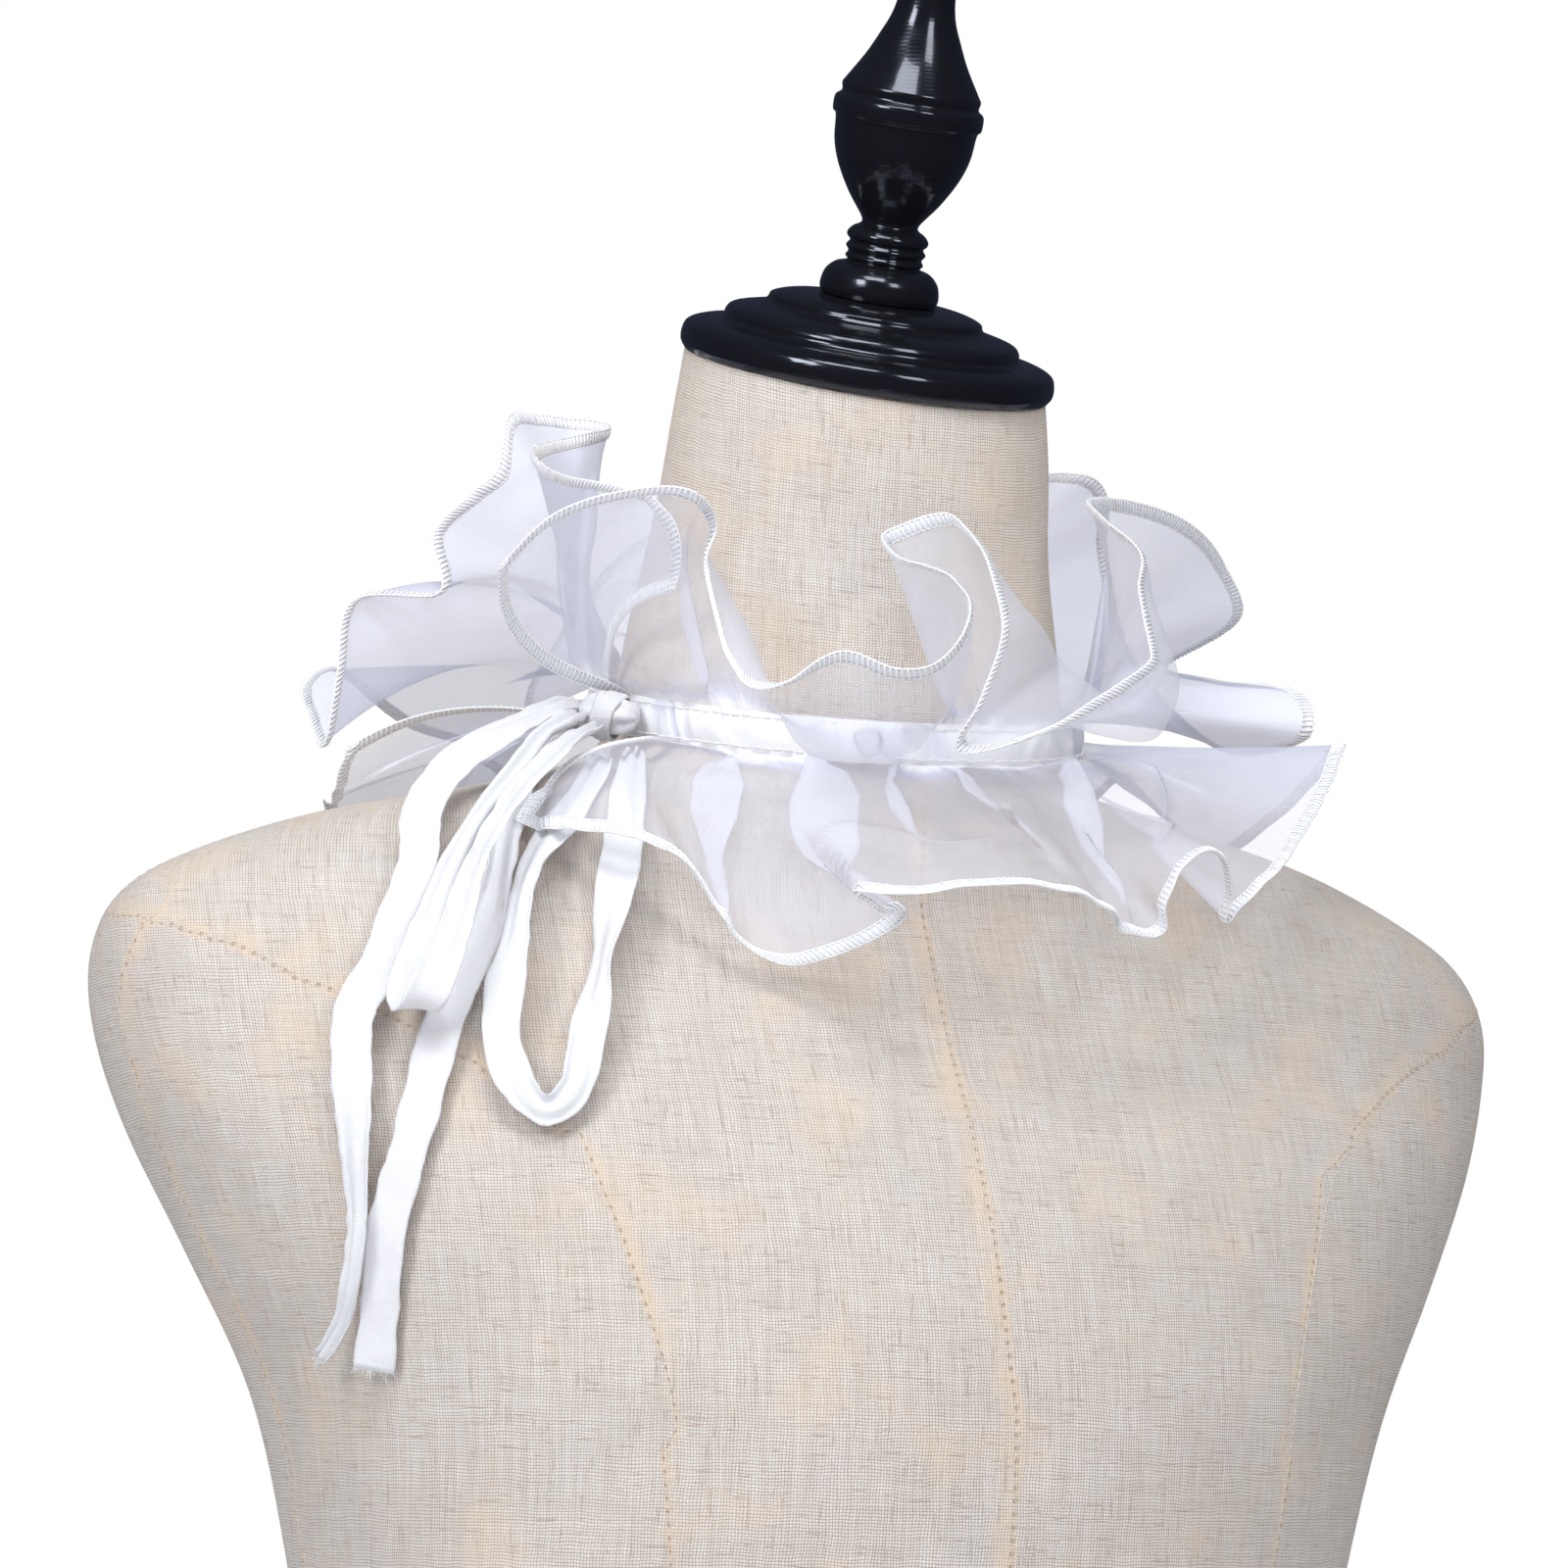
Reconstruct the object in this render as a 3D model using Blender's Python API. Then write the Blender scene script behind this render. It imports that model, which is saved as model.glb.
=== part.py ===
"""Sheer organza ruff collar, gathered on a drawstring tape and tied in a bow, on a limbless dress form.

Metres, +Z up. The form faces -Y, so the wearer's left is +X. The origin is the middle of the
form's flat underside.
"""
import math
from collections import namedtuple

import bmesh
import bpy
import numpy as np
from mathutils import Matrix, Vector

MM = 0.001

# ---- dress form -------------------------------------------------------------------------------
FORM_COLUMNS = 44          # points round each section of the torso

# One row for each section of the torso and neck, from the underside up, in millimetres and
# degrees: how high its middle is, its half width, how far it reaches to the front and to the
# back, how far its middle stands forward, how far it leans forward and how square it is.
Section = namedtuple("Section", "height half_width front back forward lean square")
TORSO = (
    Section(0, 143, 103, 102, 0, 0, 2.3),
    Section(40, 137, 98, 95, 0, 0, 2.3),
    Section(70, 127, 93, 86, 0, 0, 2.2),
    Section(98, 120, 91, 80, 0, 0, 2.2),
    Section(128, 119, 94, 80, 0, 0, 2.2),
    Section(162, 123, 101, 85, 0, 0, 2.2),
    Section(200, 129, 108, 92, 0, 0, 2.2),
    Section(245, 137, 116, 98, 0, 0, 2.2),
    Section(285, 148, 118, 102, 0, 0, 2.2),
    Section(320, 166, 112, 106, -2, 0, 2.2),
    Section(350, 182, 103, 106, -6, 0, 2.2),
    Section(374, 191, 90, 101, -8, 0, 2.2),
    Section(393, 193, 80, 94, -8, 0, 2.2),
    Section(408, 187, 72, 86, -8, 0, 2.1),
    Section(419, 170, 68, 80, -6, 0, 2.0),
    Section(430, 140, 65, 76, -3, 0, 2.0),
    Section(439, 102, 63, 71, 0, 2, 2.0),
    Section(446, 76, 61, 67, 0, 5, 2.0),
    Section(451, 64, 59, 63, 1, 8, 2.0),
    Section(458, 60.5, 57, 60, 2, 10, 2.0),
    Section(469, 59, 56, 58, 3, 11, 2.0),
    Section(488, 56, 54, 56, 5, 13, 2.0),
    Section(512, 52, 51, 52, 8, 16, 2.0),
    Section(536, 50, 49, 49, 12, 19, 2.0),
    Section(554, 48, 47, 47, 14, 20, 2.0),
)


def section_point(section, turn):
    """A point of one section; turn is 0 at the front and runs to the wearer's left."""
    side, ahead = math.sin(turn), math.cos(turn)
    power = 2 / section.square
    reach = section.front if ahead > 0 else section.back
    x = section.half_width * math.copysign(abs(side) ** power, side)
    y = -reach * math.copysign(abs(ahead) ** power, ahead)
    lean = math.radians(section.lean)
    return Vector((x, y * math.cos(lean) - section.forward, section.height + y * math.sin(lean))) * MM


# Black turned wood, in millimetres from the middle line and up along it from the neck's top.
NECK_CAP = ((48.2, 0.3), (49.3, 2), (49.4, 4.5), (48.4, 7), (45, 8.5), (40.6, 9.2), (39.2, 10.2),
            (38.8, 11.8), (37, 13.4), (30, 15.2), (28.4, 16.4), (27.6, 17.8), (23, 19.2), (15, 20))
FINIAL = ((15.3, 20.3), (15.7, 22.4), (14.9, 25.8), (12.6, 28.2), (9.7, 29.2), (10.3, 30.3), (9.7, 31.6),
          (10.5, 33), (9.7, 34.4), (10.6, 35.5), (10.6, 36.7), (9.4, 38.1), (7.6, 39.2), (7.6, 40.5),
          (9.3, 42.9), (11.8, 46.2), (14.6, 50.8), (16.7, 55.3), (18, 59.9), (18.6, 65.8), (19.5, 67),
          (19.7, 69.2), (19.4, 71), (18, 72.3), (18.2, 74.4), (17.2, 76.2), (13.3, 82.7), (10.6, 88.4),
          (8.3, 94), (7.3, 100), (7.8, 104.4), (10.6, 108.6), (12.4, 114), (12, 119), (9.2, 123.4),
          (1.5, 126.8))
TURNED_COLUMNS = 18

# ---- casing -----------------------------------------------------------------------------------
# The ring that the ruffles hang from, round the foot of the neck and lower at the front.
RING_HEIGHT = 465.0
RING_SIDE = 64.5
RING_FRONT = 65.0
RING_DIP = 15.0            # how much lower its front is than its middle
RING_TILT = 3.0            # how much lower it is on the wearer's right
CASING_HALF = 5.4
TAPE_HALF = 5.0
SEAM_GAP = 0.42
CLEAR = 3.2                # the least the cloth stands off the form
WALL = 1.0                 # sheer cloth, thickened to a wall that can be made
TAPE_WALL = 1.0
OPENING = (-80, 268)       # where the casing starts and ends, in degrees round the neck
GATHERS = 46               # tucks drawn up along the casing
TUCK = 1.2                 # how far a tuck stands out where a ruffle leaves the casing
PUCKER = 0.5               # and how far the casing's own middle does
DEPTHS = (0, 0.1, 0.27, 0.5, 0.75, 1)     # the rows of a ruffle's grid, from casing to edge
UPPER_COLUMNS = 240
LOWER_COLUMNS = 200
CASING_COLUMNS = 139
TAPE_COLUMNS = 60
TAPE_IN = 1.9              # how far inside the casing the drawn tape lies

# ---- ruffles ----------------------------------------------------------------------------------
# One row for each turn of a ruffle's free edge. Degrees are 0 at the front and run to the
# wearer's left. root: where it leaves the casing; around: where its edge stands; reach and
# rise: how far that edge is from the neck's middle line and above the ring, in millimetres;
# lift: the slope the cloth sets out with; belly: how far it goes that way before it bends.
Turn = namedtuple("Turn", "root around reach rise lift belly")
UPPER_TURNS = (
    # first flap, open towards the front
    Turn(-80, -66, 123, 22, 20, 38), Turn(-77, -61, 116, 35, 35, 38), Turn(-72, -53, 108, 41, 50, 38),
    Turn(-66, -44, 104, 41, 60, 38), Turn(-58, -43, 92, 34, 70, 42), Turn(-51, -43.5, 95, 24.5, 74, 46),
    Turn(-44, -39, 108, 6, 72, 47),
    # low wave over the middle of the front
    Turn(-38, -34.3, 118, -9, 58, 45), Turn(-32, -28.5, 130, -10.5, 16, 40), Turn(-25, -23, 134, -4, -7, 42),
    Turn(-16, -17, 134, -8, -10, 42), Turn(-7, -12, 132, -3, -7, 40),
    # flute that stands in front of the neck
    Turn(-2, -9, 126, 10, 12, 36), Turn(2, -10, 117, 18, 40, 36), Turn(6, -14, 99, 25, 60, 34),
    Turn(9, -16, 81, 33, 72, 32), Turn(12, -13, 76, 37, 76, 32), Turn(15, -4, 82, 40, 72, 34),
    Turn(18, -2, 98, 27, 55, 34), Turn(22, -3, 113, 7, 48, 38),
    # dipped point, then up into the flute on the wearer's left
    Turn(26, -6.3, 114.5, -12, 45, 40), Turn(30, -7.7, 109.5, -23, 38, 42), Turn(35, 1, 112, -19, 14, 42),
    Turn(41, 10, 114, -8, -11, 46), Turn(48, 18, 114, 2, -2, 42), Turn(52, 21, 110, 9, 22, 38),
    Turn(56, 24, 102, 24, 50, 36), Turn(60, 29, 96, 35, 60, 36), Turn(64, 33, 80, 46, 72, 34),
    Turn(68, 43, 70, 54, 78, 34), Turn(72, 58, 76, 57, 78, 34), Turn(78, 75, 94, 56, 70, 34),
    Turn(83, 88, 112, 50, 60, 36), Turn(88, 94, 124, 39, 45, 36), Turn(93, 107, 120, 28, 35, 36),
    # wave over the wearer's left shoulder, then the back
    Turn(98, 100, 127, 22, 25, 36), Turn(102, 87, 134, 17, 15, 36), Turn(107, 84, 134, 4, 0, 36),
    Turn(112, 100, 130, 4, 5, 34), Turn(117, 114, 124, 30, 40, 36), Turn(122, 115, 113, 60, 64, 36),
    Turn(126, 111, 103, 75, 74, 40), Turn(130, 112, 93, 79, 77, 40), Turn(135, 122, 90, 78, 77, 40),
    Turn(141, 142, 106, 64, 68, 36), Turn(147, 152, 126, 38, 44, 36), Turn(154, 154, 136, 10, 12, 34),
    Turn(161, 158, 136, 2, 5, 34), Turn(167, 168, 126, 30, 38, 36), Turn(172, 172, 108, 56, 62, 36),
    Turn(178, 174, 92, 68, 74, 36), Turn(184, 183, 94, 68, 74, 36), Turn(189, 192, 112, 54, 58, 36),
    Turn(195, 197, 130, 24, 28, 36),
    # wing over the wearer's right shoulder
    Turn(201, 199, 135, 6, 12, 34), Turn(205, 214, 136, 4, 18, 34), Turn(208, 233, 138, 14, 27, 34),
    Turn(210, 243, 141, 6, 34, 34), Turn(212, 249, 137, -5, 41, 34), Turn(214, 253, 133, -13, 50, 36),
    Turn(216, 254, 130, 5, 62, 38), Turn(218.5, 252, 127, 26, 68, 40), Turn(220.5, 249, 113, 31, 70, 40),
    # last flap, which ends behind the first
    Turn(222.5, 246, 107, 46, 72, 40), Turn(225, 241, 98, 59, 74, 40), Turn(228, 238.5, 92, 66.5, 76, 40),
    Turn(231, 236, 91, 81, 78, 40), Turn(234, 227, 87, 84.5, 80, 40), Turn(237, 220, 82, 85, 82, 40),
    Turn(239.5, 218, 74.5, 84.5, 84, 40), Turn(242, 222, 69.5, 81, 84, 40), Turn(245, 233, 70, 77, 81, 38),
    Turn(248, 245, 77, 72, 80, 36), Turn(251, 259, 83, 65, 76, 34), Turn(254, 278, 85, 54.5, 72, 33),
    Turn(257, 294, 85, 48, 72, 32), Turn(260, 301, 82, 45, 74, 30), Turn(263, 305, 80, 38, 78, 28),
    Turn(266, 305, 77, 30, 82, 24), Turn(268, 303, 75, 22, 84, 20),
)
LOWER_TURNS = (
    # first flap, then the deep wave on the wearer's right of the front
    Turn(-67, -65, 113, -44, -6, 42), Turn(-65, -61, 114, -42, -5, 42), Turn(-63, -55, 114, -43, -4, 42),
    Turn(-61, -49, 112, -45, -2, 42), Turn(-58, -43, 107, -51, -14, 42), Turn(-54, -38, 100, -66, -34, 42),
    Turn(-49, -30, 93.5, -74, -48, 42), Turn(-43, -20, 98, -70, -48, 40), Turn(-37, -14, 105.5, -63, -44, 38),
    Turn(-31, -17.5, 112, -60, -40, 36),
    # long shallow wave under the throat
    Turn(-25, -20, 115.5, -59, -38, 34), Turn(-17, -12, 118, -58, -38, 34), Turn(-5, 1, 120, -55, -38, 34),
    Turn(6, 11, 118, -59, -40, 34), Turn(13, 16, 113, -64, -44, 34), Turn(20, 22, 114, -63, -44, 34),
    # pinched arch, then the wide wing on the wearer's left
    Turn(26, 20, 119, -55, -38, 34), Turn(33, 22, 123, -45, -30, 34), Turn(38, 28, 123, -43, -28, 34),
    Turn(43, 33, 119, -51, -38, 34), Turn(47, 35, 115, -58, -46, 34), Turn(51, 38, 118, -52, -40, 34),
    Turn(56, 43, 122, -43, -32, 34), Turn(62, 54, 123, -31, -22, 34), Turn(72, 67, 132, -8, -4, 34),
    Turn(80, 74, 135, -3, 4, 34), Turn(88, 86, 130, -16, -8, 32), Turn(98, 100, 127, -25, -16, 32),
    Turn(108, 112, 132, -12, -4, 32), Turn(116, 119, 135, 0, 8, 32), Turn(124, 125, 132, -12, -4, 32),
    # back
    Turn(133, 134, 122, -34, -26, 32), Turn(143, 146, 116, -44, -36, 32),
    Turn(152, 153, 126, -28, -18, 32), Turn(160, 159, 134, -8, 0, 32), Turn(169, 170, 126, -26, -16, 32),
    Turn(178, 182, 114, -46, -36, 32), Turn(188, 190, 120, -38, -26, 32),
    Turn(196, 195, 132, -16, -6, 32), Turn(204, 203, 136, -2, 8, 32), Turn(212, 213, 128, -20, -10, 32),
    Turn(220, 224, 126, -32, -20, 32),
    # over the wearer's right shoulder, ending at the knot
    Turn(228, 235, 130, -30, -14, 32), Turn(236, 245, 132, -30, -14, 32),
    Turn(244, 252, 132, -27, -12, 32), Turn(252, 257, 131, -29, -8, 34), Turn(260, 262, 131, -24, 4, 38),
    Turn(268, 265, 130, -17, 12, 42),
)

# ---- tape -------------------------------------------------------------------------------------
# One row for each bend of a tape's middle line, in millimetres and degrees: across towards the
# wearer's left, ahead of the form's middle, height, the way its face looks, how far that is
# tipped up, and how wide it lies, less where it crumples.
Bend = namedtuple("Bend", "across ahead height face tip wide")
TAPES = {
    "outer_tail": (
        Bend(-76, 11.5, 461, -40, 40, 4), Bend(-84, 17, 459.5, -36, 40, 6),
        Bend(-94, 22, 454, -30, 40, 8), Bend(-108, 28, 446, -28, 34, 10),
        Bend(-120, 36, 437, -26, 20, 10), Bend(-128, 43, 426, -26, 4, 10),
        Bend(-131, 50, 413, -26, 0, 10), Bend(-137, 55, 399, -20, 0, 10), Bend(-142, 58, 387, -24, 0, 10),
        Bend(-149, 60, 375, -34, 0, 10), Bend(-150, 62, 363, -34, 0, 10), Bend(-150, 65, 349, -56, 0, 10),
        Bend(-149, 65, 335, -78, 0, 10), Bend(-148, 65, 323, -84, 0, 9), Bend(-148, 61, 310, -66, 0, 9),
        Bend(-148, 55, 301, -72, 0, 8), Bend(-150, 47, 293, -84, -14, 6),
    ),
    "inner_tail": (
        Bend(-75.8, 11, 454.8, -34, 40, 4), Bend(-83, 18, 451.5, -30, 40, 5),
        Bend(-91, 26, 446.5, -26, 36, 7), Bend(-101, 38, 437, -22, 24, 8), Bend(-108, 49, 423, -4, 8, 8),
        Bend(-112, 55, 410, 10, 0, 8), Bend(-117, 61, 397, -8, 0, 9), Bend(-124, 65, 385, -26, 0, 10),
        Bend(-130, 68, 371, -32, 0, 10), Bend(-135, 71, 354, -34, 0, 10), Bend(-139, 71, 338, -36, 0, 10),
        Bend(-142, 68, 322, -36, 0, 10), Bend(-141, 63, 306, -38, 0, 10), Bend(-140, 57, 290, -38, 0, 10),
    ),
    "outer_loop": (
        Bend(-76.6, 15, 457.4, 150, -36, 4), Bend(-84, 26, 455, 152, -36, 6),
        Bend(-93, 32, 449.6, 154, -36, 7), Bend(-103, 42, 440, 154, -26, 8),
        Bend(-115, 50, 427, 148, -10, 8), Bend(-124, 56, 414, 146, 0, 9), Bend(-130, 61, 402, 150, 0, 10),
        Bend(-135, 66, 391, 156, 0, 10), Bend(-139, 68, 380, 158, -30, 10),
        Bend(-139, 74, 375, 158, -90, 10), Bend(-136, 78, 381, -22, -10, 10),
        Bend(-130, 75, 394, -22, 0, 10), Bend(-124, 69, 409, -22, 0, 10), Bend(-117, 64, 421, -22, 4, 10),
        Bend(-109, 58, 431, -24, 20, 9), Bend(-98, 50, 441, -26, 32, 8), Bend(-87, 38, 449, -28, 36, 6),
        Bend(-76, 23.5, 454, -28, 36, 4),
    ),
    "inner_loop": (
        Bend(-71.6, 14.5, 449.1, -40, 50, 4), Bend(-76, 26, 446.5, -40, 50, 5),
        Bend(-82, 40, 440, -32, 40, 7), Bend(-93, 51.5, 427, -34, 16, 8), Bend(-103, 57, 416, -56, 0, 8),
        Bend(-109, 64.5, 405, -60, 0, 8), Bend(-113, 71, 393, -54, 0, 9), Bend(-116, 73, 381, -40, 0, 10),
        Bend(-118, 78, 368, -26, 0, 9), Bend(-115, 83, 357, -22, 0, 8), Bend(-109, 86, 352, -22, 0, 7),
        Bend(-102, 86, 358, -22, 0, 8), Bend(-97, 81, 374, -34, 0, 9), Bend(-92, 75, 389, -84, 0, 9),
        Bend(-87, 68, 405, -46, 0, 10), Bend(-82, 60, 419, -22, 0, 10), Bend(-77, 50, 434, -20, 24, 8),
        Bend(-70, 34, 444.5, -20, 44, 6), Bend(-66, 21, 448.9, -20, 50, 4),
    ),
}
TAPE_STEPS = 2             # sections to each row
KNOT = (-69.1, 17.0, 457.4)      # its middle, across, ahead and height
KNOT_HALF = (10.0, 5.0, 6.0)


def make_material(name, colour, roughness, metallic=0.0, alpha=1.0):
    material = bpy.data.materials.new(name)
    material.use_nodes = True
    shader = material.node_tree.nodes["Principled BSDF"]
    shader.inputs["Base Color"].default_value = (*colour, 1)
    shader.inputs["Roughness"].default_value = roughness
    shader.inputs["Metallic"].default_value = metallic
    shader.inputs["Alpha"].default_value = alpha
    material.diffuse_color = (*colour, alpha)
    return material


def finish(name, shape, material):
    bmesh.ops.recalc_face_normals(shape, faces=shape.faces)
    mesh = bpy.data.meshes.new(name)
    shape.to_mesh(mesh)
    shape.free()
    mesh.shade_smooth()
    mesh.materials.append(material)
    obj = bpy.data.objects.new(name, mesh)
    bpy.context.scene.collection.objects.link(obj)
    return obj


def loft(name, rings, material):
    """A closed solid through rings that all have the same number of points."""
    shape = bmesh.new()
    loops = []
    for ring in rings:
        verts = [shape.verts.new(point) for point in ring]
        loops.append([shape.edges.new((a, b)) for a, b in zip(verts, verts[1:] + verts[:1])])
    for low, high in zip(loops, loops[1:]):
        bmesh.ops.bridge_loops(shape, edges=low + high)
    bmesh.ops.holes_fill(shape, edges=loops[0])
    bmesh.ops.holes_fill(shape, edges=loops[-1])
    return finish(name, shape, material)


def turned(name, profile, material):
    """A turned solid on the leaning middle line of the neck's top."""
    top = TORSO[-1]
    lean = Matrix.Rotation(math.radians(top.lean), 3, "X")
    foot = Vector((0, -top.forward, top.height)) * MM
    rings = []
    for radius, up in profile:
        ring = []
        for i in range(TURNED_COLUMNS):
            turn = math.tau * i / TURNED_COLUMNS
            ring.append(foot + lean @ Vector((radius * math.cos(turn), radius * math.sin(turn), up)) * MM)
        rings.append(ring)
    return loft(name, rings, material)


def spline(rows, place):
    """Smooth values through rows at place, counted in rows from the first."""
    last = len(rows) - 1
    i = min(int(place), last - 1)
    t = place - i
    a, b, c, d = (np.array(rows[min(max(k, 0), last)], float) for k in (i - 1, i, i + 1, i + 2))
    return b + 0.5 * t * (c - a + t * (2 * a - 5 * b + 4 * c - d + t * (3 * (b - c) + d - a)))


def ring_point(degrees, out, up):
    """A point by the casing: out from its middle line and up from its middle height."""
    turn = math.radians(degrees)
    x = (RING_SIDE + out) * math.sin(turn)
    y = -(RING_FRONT + out) * math.cos(turn)
    return np.array((x, y, RING_HEIGHT - RING_DIP * math.cos(turn) + RING_TILT * math.sin(turn) + up))


def clear_of_form(turn, out, up, clear):
    """Moves a point seen side on towards turn, in millimetres, until it clears the torso."""
    side, ahead = math.sin(turn), math.cos(turn)
    edge = []
    for row in TORSO:
        depth = row.front if ahead > 0 else row.back
        power = row.square
        reach = ((abs(side) / row.half_width) ** power + (abs(ahead) / depth) ** power) ** (-1 / power)
        drop = reach * ahead * math.sin(math.radians(row.lean))
        edge.append((reach + row.forward * ahead, row.height - drop))
    spot = np.array((out, up))
    edge = np.array(edge)
    along = np.diff(edge, axis=0)
    part = np.clip(np.sum((spot - edge[:-1]) * along, axis=1) / np.sum(along * along, axis=1), 0, 1)
    nearest = edge[:-1] + part[:, None] * along
    k = int(np.argmin(np.linalg.norm(spot - nearest, axis=1)))
    outward = np.array((along[k][1], -along[k][0])) / np.linalg.norm(along[k])
    apart = float((spot - nearest[k]) @ outward)
    return spot if apart > clear else nearest[k] + outward * clear


def even_places(rows, line, count):
    """Places along rows that part the line into equal lengths."""
    fine = np.linspace(0, len(rows) - 1, 24 * len(rows))
    points = np.array([line(spline(rows, place)) for place in fine])
    length = np.concatenate(([0], np.cumsum(np.linalg.norm(np.diff(points, axis=0), axis=1))))
    return np.interp(np.linspace(0, length[-1], count), length, fine)


def edge_point(row):
    turn = math.radians(row[1])
    return np.array((row[2] * math.sin(turn), -row[2] * math.cos(turn), RING_HEIGHT + row[3]))


def ruffle_point(row, v, way, gather):
    """A point of a ruffle: v is 0 at the casing and 1 at the edge; way is 1 above, -1 below."""
    root, around, reach, rise, lift, belly = row
    start = ring_point(root, 0, way * (CASING_HALF + SEAM_GAP + WALL / 2))
    near = math.hypot(start[0], start[1])
    low = start[2] - RING_HEIGHT
    slope = math.radians(lift)
    mid = (near + belly * math.cos(slope), low + belly * math.sin(slope))
    a, b, c = (1 - v) ** 2, 2 * v * (1 - v), v * v
    out = a * near + b * mid[0] + c * reach
    up = a * low + b * mid[1] + c * rise
    start_turn = math.degrees(math.atan2(start[0], -start[1]))
    start_turn += 360 * round((root - start_turn) / 360)
    turn = math.radians(start_turn + (around - start_turn) * v ** 1.35)
    out += TUCK * gather * (1 - v) ** 1.6
    clear = CLEAR * min(1, 0.3 + 5 * v)
    out, height = clear_of_form(turn, out, RING_HEIGHT + up, clear)
    return np.array((out * math.sin(turn), -out * math.cos(turn), height))


def wall(name, grid, thick, material):
    """A closed wall, half of it to each side of a grid of points."""
    along = np.gradient(grid, axis=0)
    across = np.gradient(grid, axis=1)
    normal = np.cross(along, across)
    normal /= np.linalg.norm(normal, axis=2, keepdims=True)
    shape = bmesh.new()
    sheets = []
    for half in (thick / 2, -thick / 2):
        sheets.append([[shape.verts.new(p * MM) for p in line] for line in grid + half * normal])
    rows, columns = grid.shape[:2]
    for sheet in sheets:
        for i in range(rows - 1):
            for j in range(columns - 1):
                shape.faces.new((sheet[i][j], sheet[i + 1][j], sheet[i + 1][j + 1], sheet[i][j + 1]))
    rim = [(i, 0) for i in range(rows)] + [(rows - 1, j) for j in range(1, columns)]
    rim += [(i, columns - 1) for i in range(rows - 2, -1, -1)] + [(0, j) for j in range(columns - 2, 0, -1)]
    front, back = sheets
    for (i, j), (k, m) in zip(rim, rim[1:] + rim[:1]):
        shape.faces.new((front[i][j], front[k][m], back[k][m], back[i][j]))
    return finish(name, shape, material)


def ruffle(name, turns, way, columns, material):
    places = even_places(turns, edge_point, columns)
    grid = []
    for i, place in enumerate(places):
        row = spline(turns, place)
        share = (row[0] - OPENING[0]) / (OPENING[1] - OPENING[0])
        gather = math.sin(math.tau * GATHERS * share)
        grid.append([ruffle_point(row, v, way, gather) for v in DEPTHS])
    return wall(name, np.array(grid), WALL, material)


def band(name, start, stop, out, half, thick, columns, pucker, material):
    """A strip round the ring, its ends at start and stop degrees."""
    grid = []
    for degrees in np.linspace(start, stop, columns):
        share = (degrees - OPENING[0]) / (OPENING[1] - OPENING[0])
        wave = pucker * math.sin(math.tau * GATHERS * share)
        grid.append([ring_point(degrees, out + wave * share_out, up)
                     for up, share_out in ((-half, 0.3), (0, 1), (half, 0.3))])
    return wall(name, np.array(grid), thick, material)


def tape(name, bends, material):
    rows = np.array([(b.across, -b.ahead, b.height, *facing(b.face, b.tip), b.wide) for b in bends])
    places = np.linspace(0, len(rows) - 1, TAPE_STEPS * (len(rows) - 1) + 1)
    values = np.array([spline(rows, place) for place in places])
    path, face, wide = values[:, :3], values[:, 3:6], values[:, 6:]
    width = np.cross(np.gradient(path, axis=0), face)
    width /= np.linalg.norm(width, axis=1, keepdims=True)
    width *= wide / 2
    grid = np.stack((path - width, path + width), axis=1)
    return wall(name, grid, TAPE_WALL, material)


def facing(face, tip):
    turn, up = math.radians(face), math.radians(tip)
    return math.sin(turn) * math.cos(up), -math.cos(turn) * math.cos(up), math.sin(up)


def knot(name, material):
    """A tight wrap of tape: a short drum with soft lumps where the layers cross."""
    across, ahead, height = KNOT
    long, deep, tall = KNOT_HALF
    turn = math.atan2(across, ahead)
    side = Vector((math.cos(turn), math.sin(turn), -0.2)).normalized()
    out = Vector((math.sin(turn), -math.cos(turn), 0))
    up = out.cross(side)
    rings = []
    for i in range(9):
        along = -0.96 + 1.92 * i / 8
        swell = (1 - abs(along) ** 3.2) ** 0.5 * (1 + 0.1 * math.cos(7 * along))
        ring = []
        for j in range(14):
            a = math.tau * j / 14
            lump = 1 + 0.1 * math.sin(3 * a + 4 * along)
            ring.append((Vector((across, -ahead, height)) + side * long * along
                         + (out * deep * math.cos(a) + up * tall * math.sin(a)) * swell * lump) * MM)
        rings.append(ring)
    return loft(name, rings, material)


def main():
    for obj in list(bpy.data.objects):
        bpy.data.objects.remove(obj)
    linen = make_material("linen", (0.76, 0.68, 0.56), 0.9)
    wood = make_material("black_wood", (0.02, 0.02, 0.022), 0.25)
    organza = make_material("organza", (0.93, 0.93, 0.98), 0.5, alpha=0.4)
    cotton = make_material("cotton_tape", (0.95, 0.95, 0.95), 0.85)

    turns = [math.tau * i / FORM_COLUMNS for i in range(FORM_COLUMNS)]
    loft("torso", [[section_point(s, t) for t in turns] for s in TORSO], linen)
    turned("neck_cap", NECK_CAP, wood)
    turned("finial", FINIAL, wood)

    ruffle("upper_ruffle", UPPER_TURNS, 1, UPPER_COLUMNS, organza)
    ruffle("lower_ruffle", LOWER_TURNS, -1, LOWER_COLUMNS, organza)
    band("casing", *OPENING, 0, CASING_HALF, WALL, CASING_COLUMNS, PUCKER, organza)
    start, stop = OPENING[0] - 1, OPENING[1] + 1
    band("drawn_tape", start, stop, -TAPE_IN, TAPE_HALF, TAPE_WALL, TAPE_COLUMNS, 0, cotton)
    for name, bends in TAPES.items():
        tape(name, bends, cotton)
    knot("knot", cotton)


if __name__ == "__main__":
    main()
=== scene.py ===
import math

import bmesh
import bpy
import numpy as np
from mathutils import Matrix, Vector
from mathutils.bvhtree import BVHTree


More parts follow.
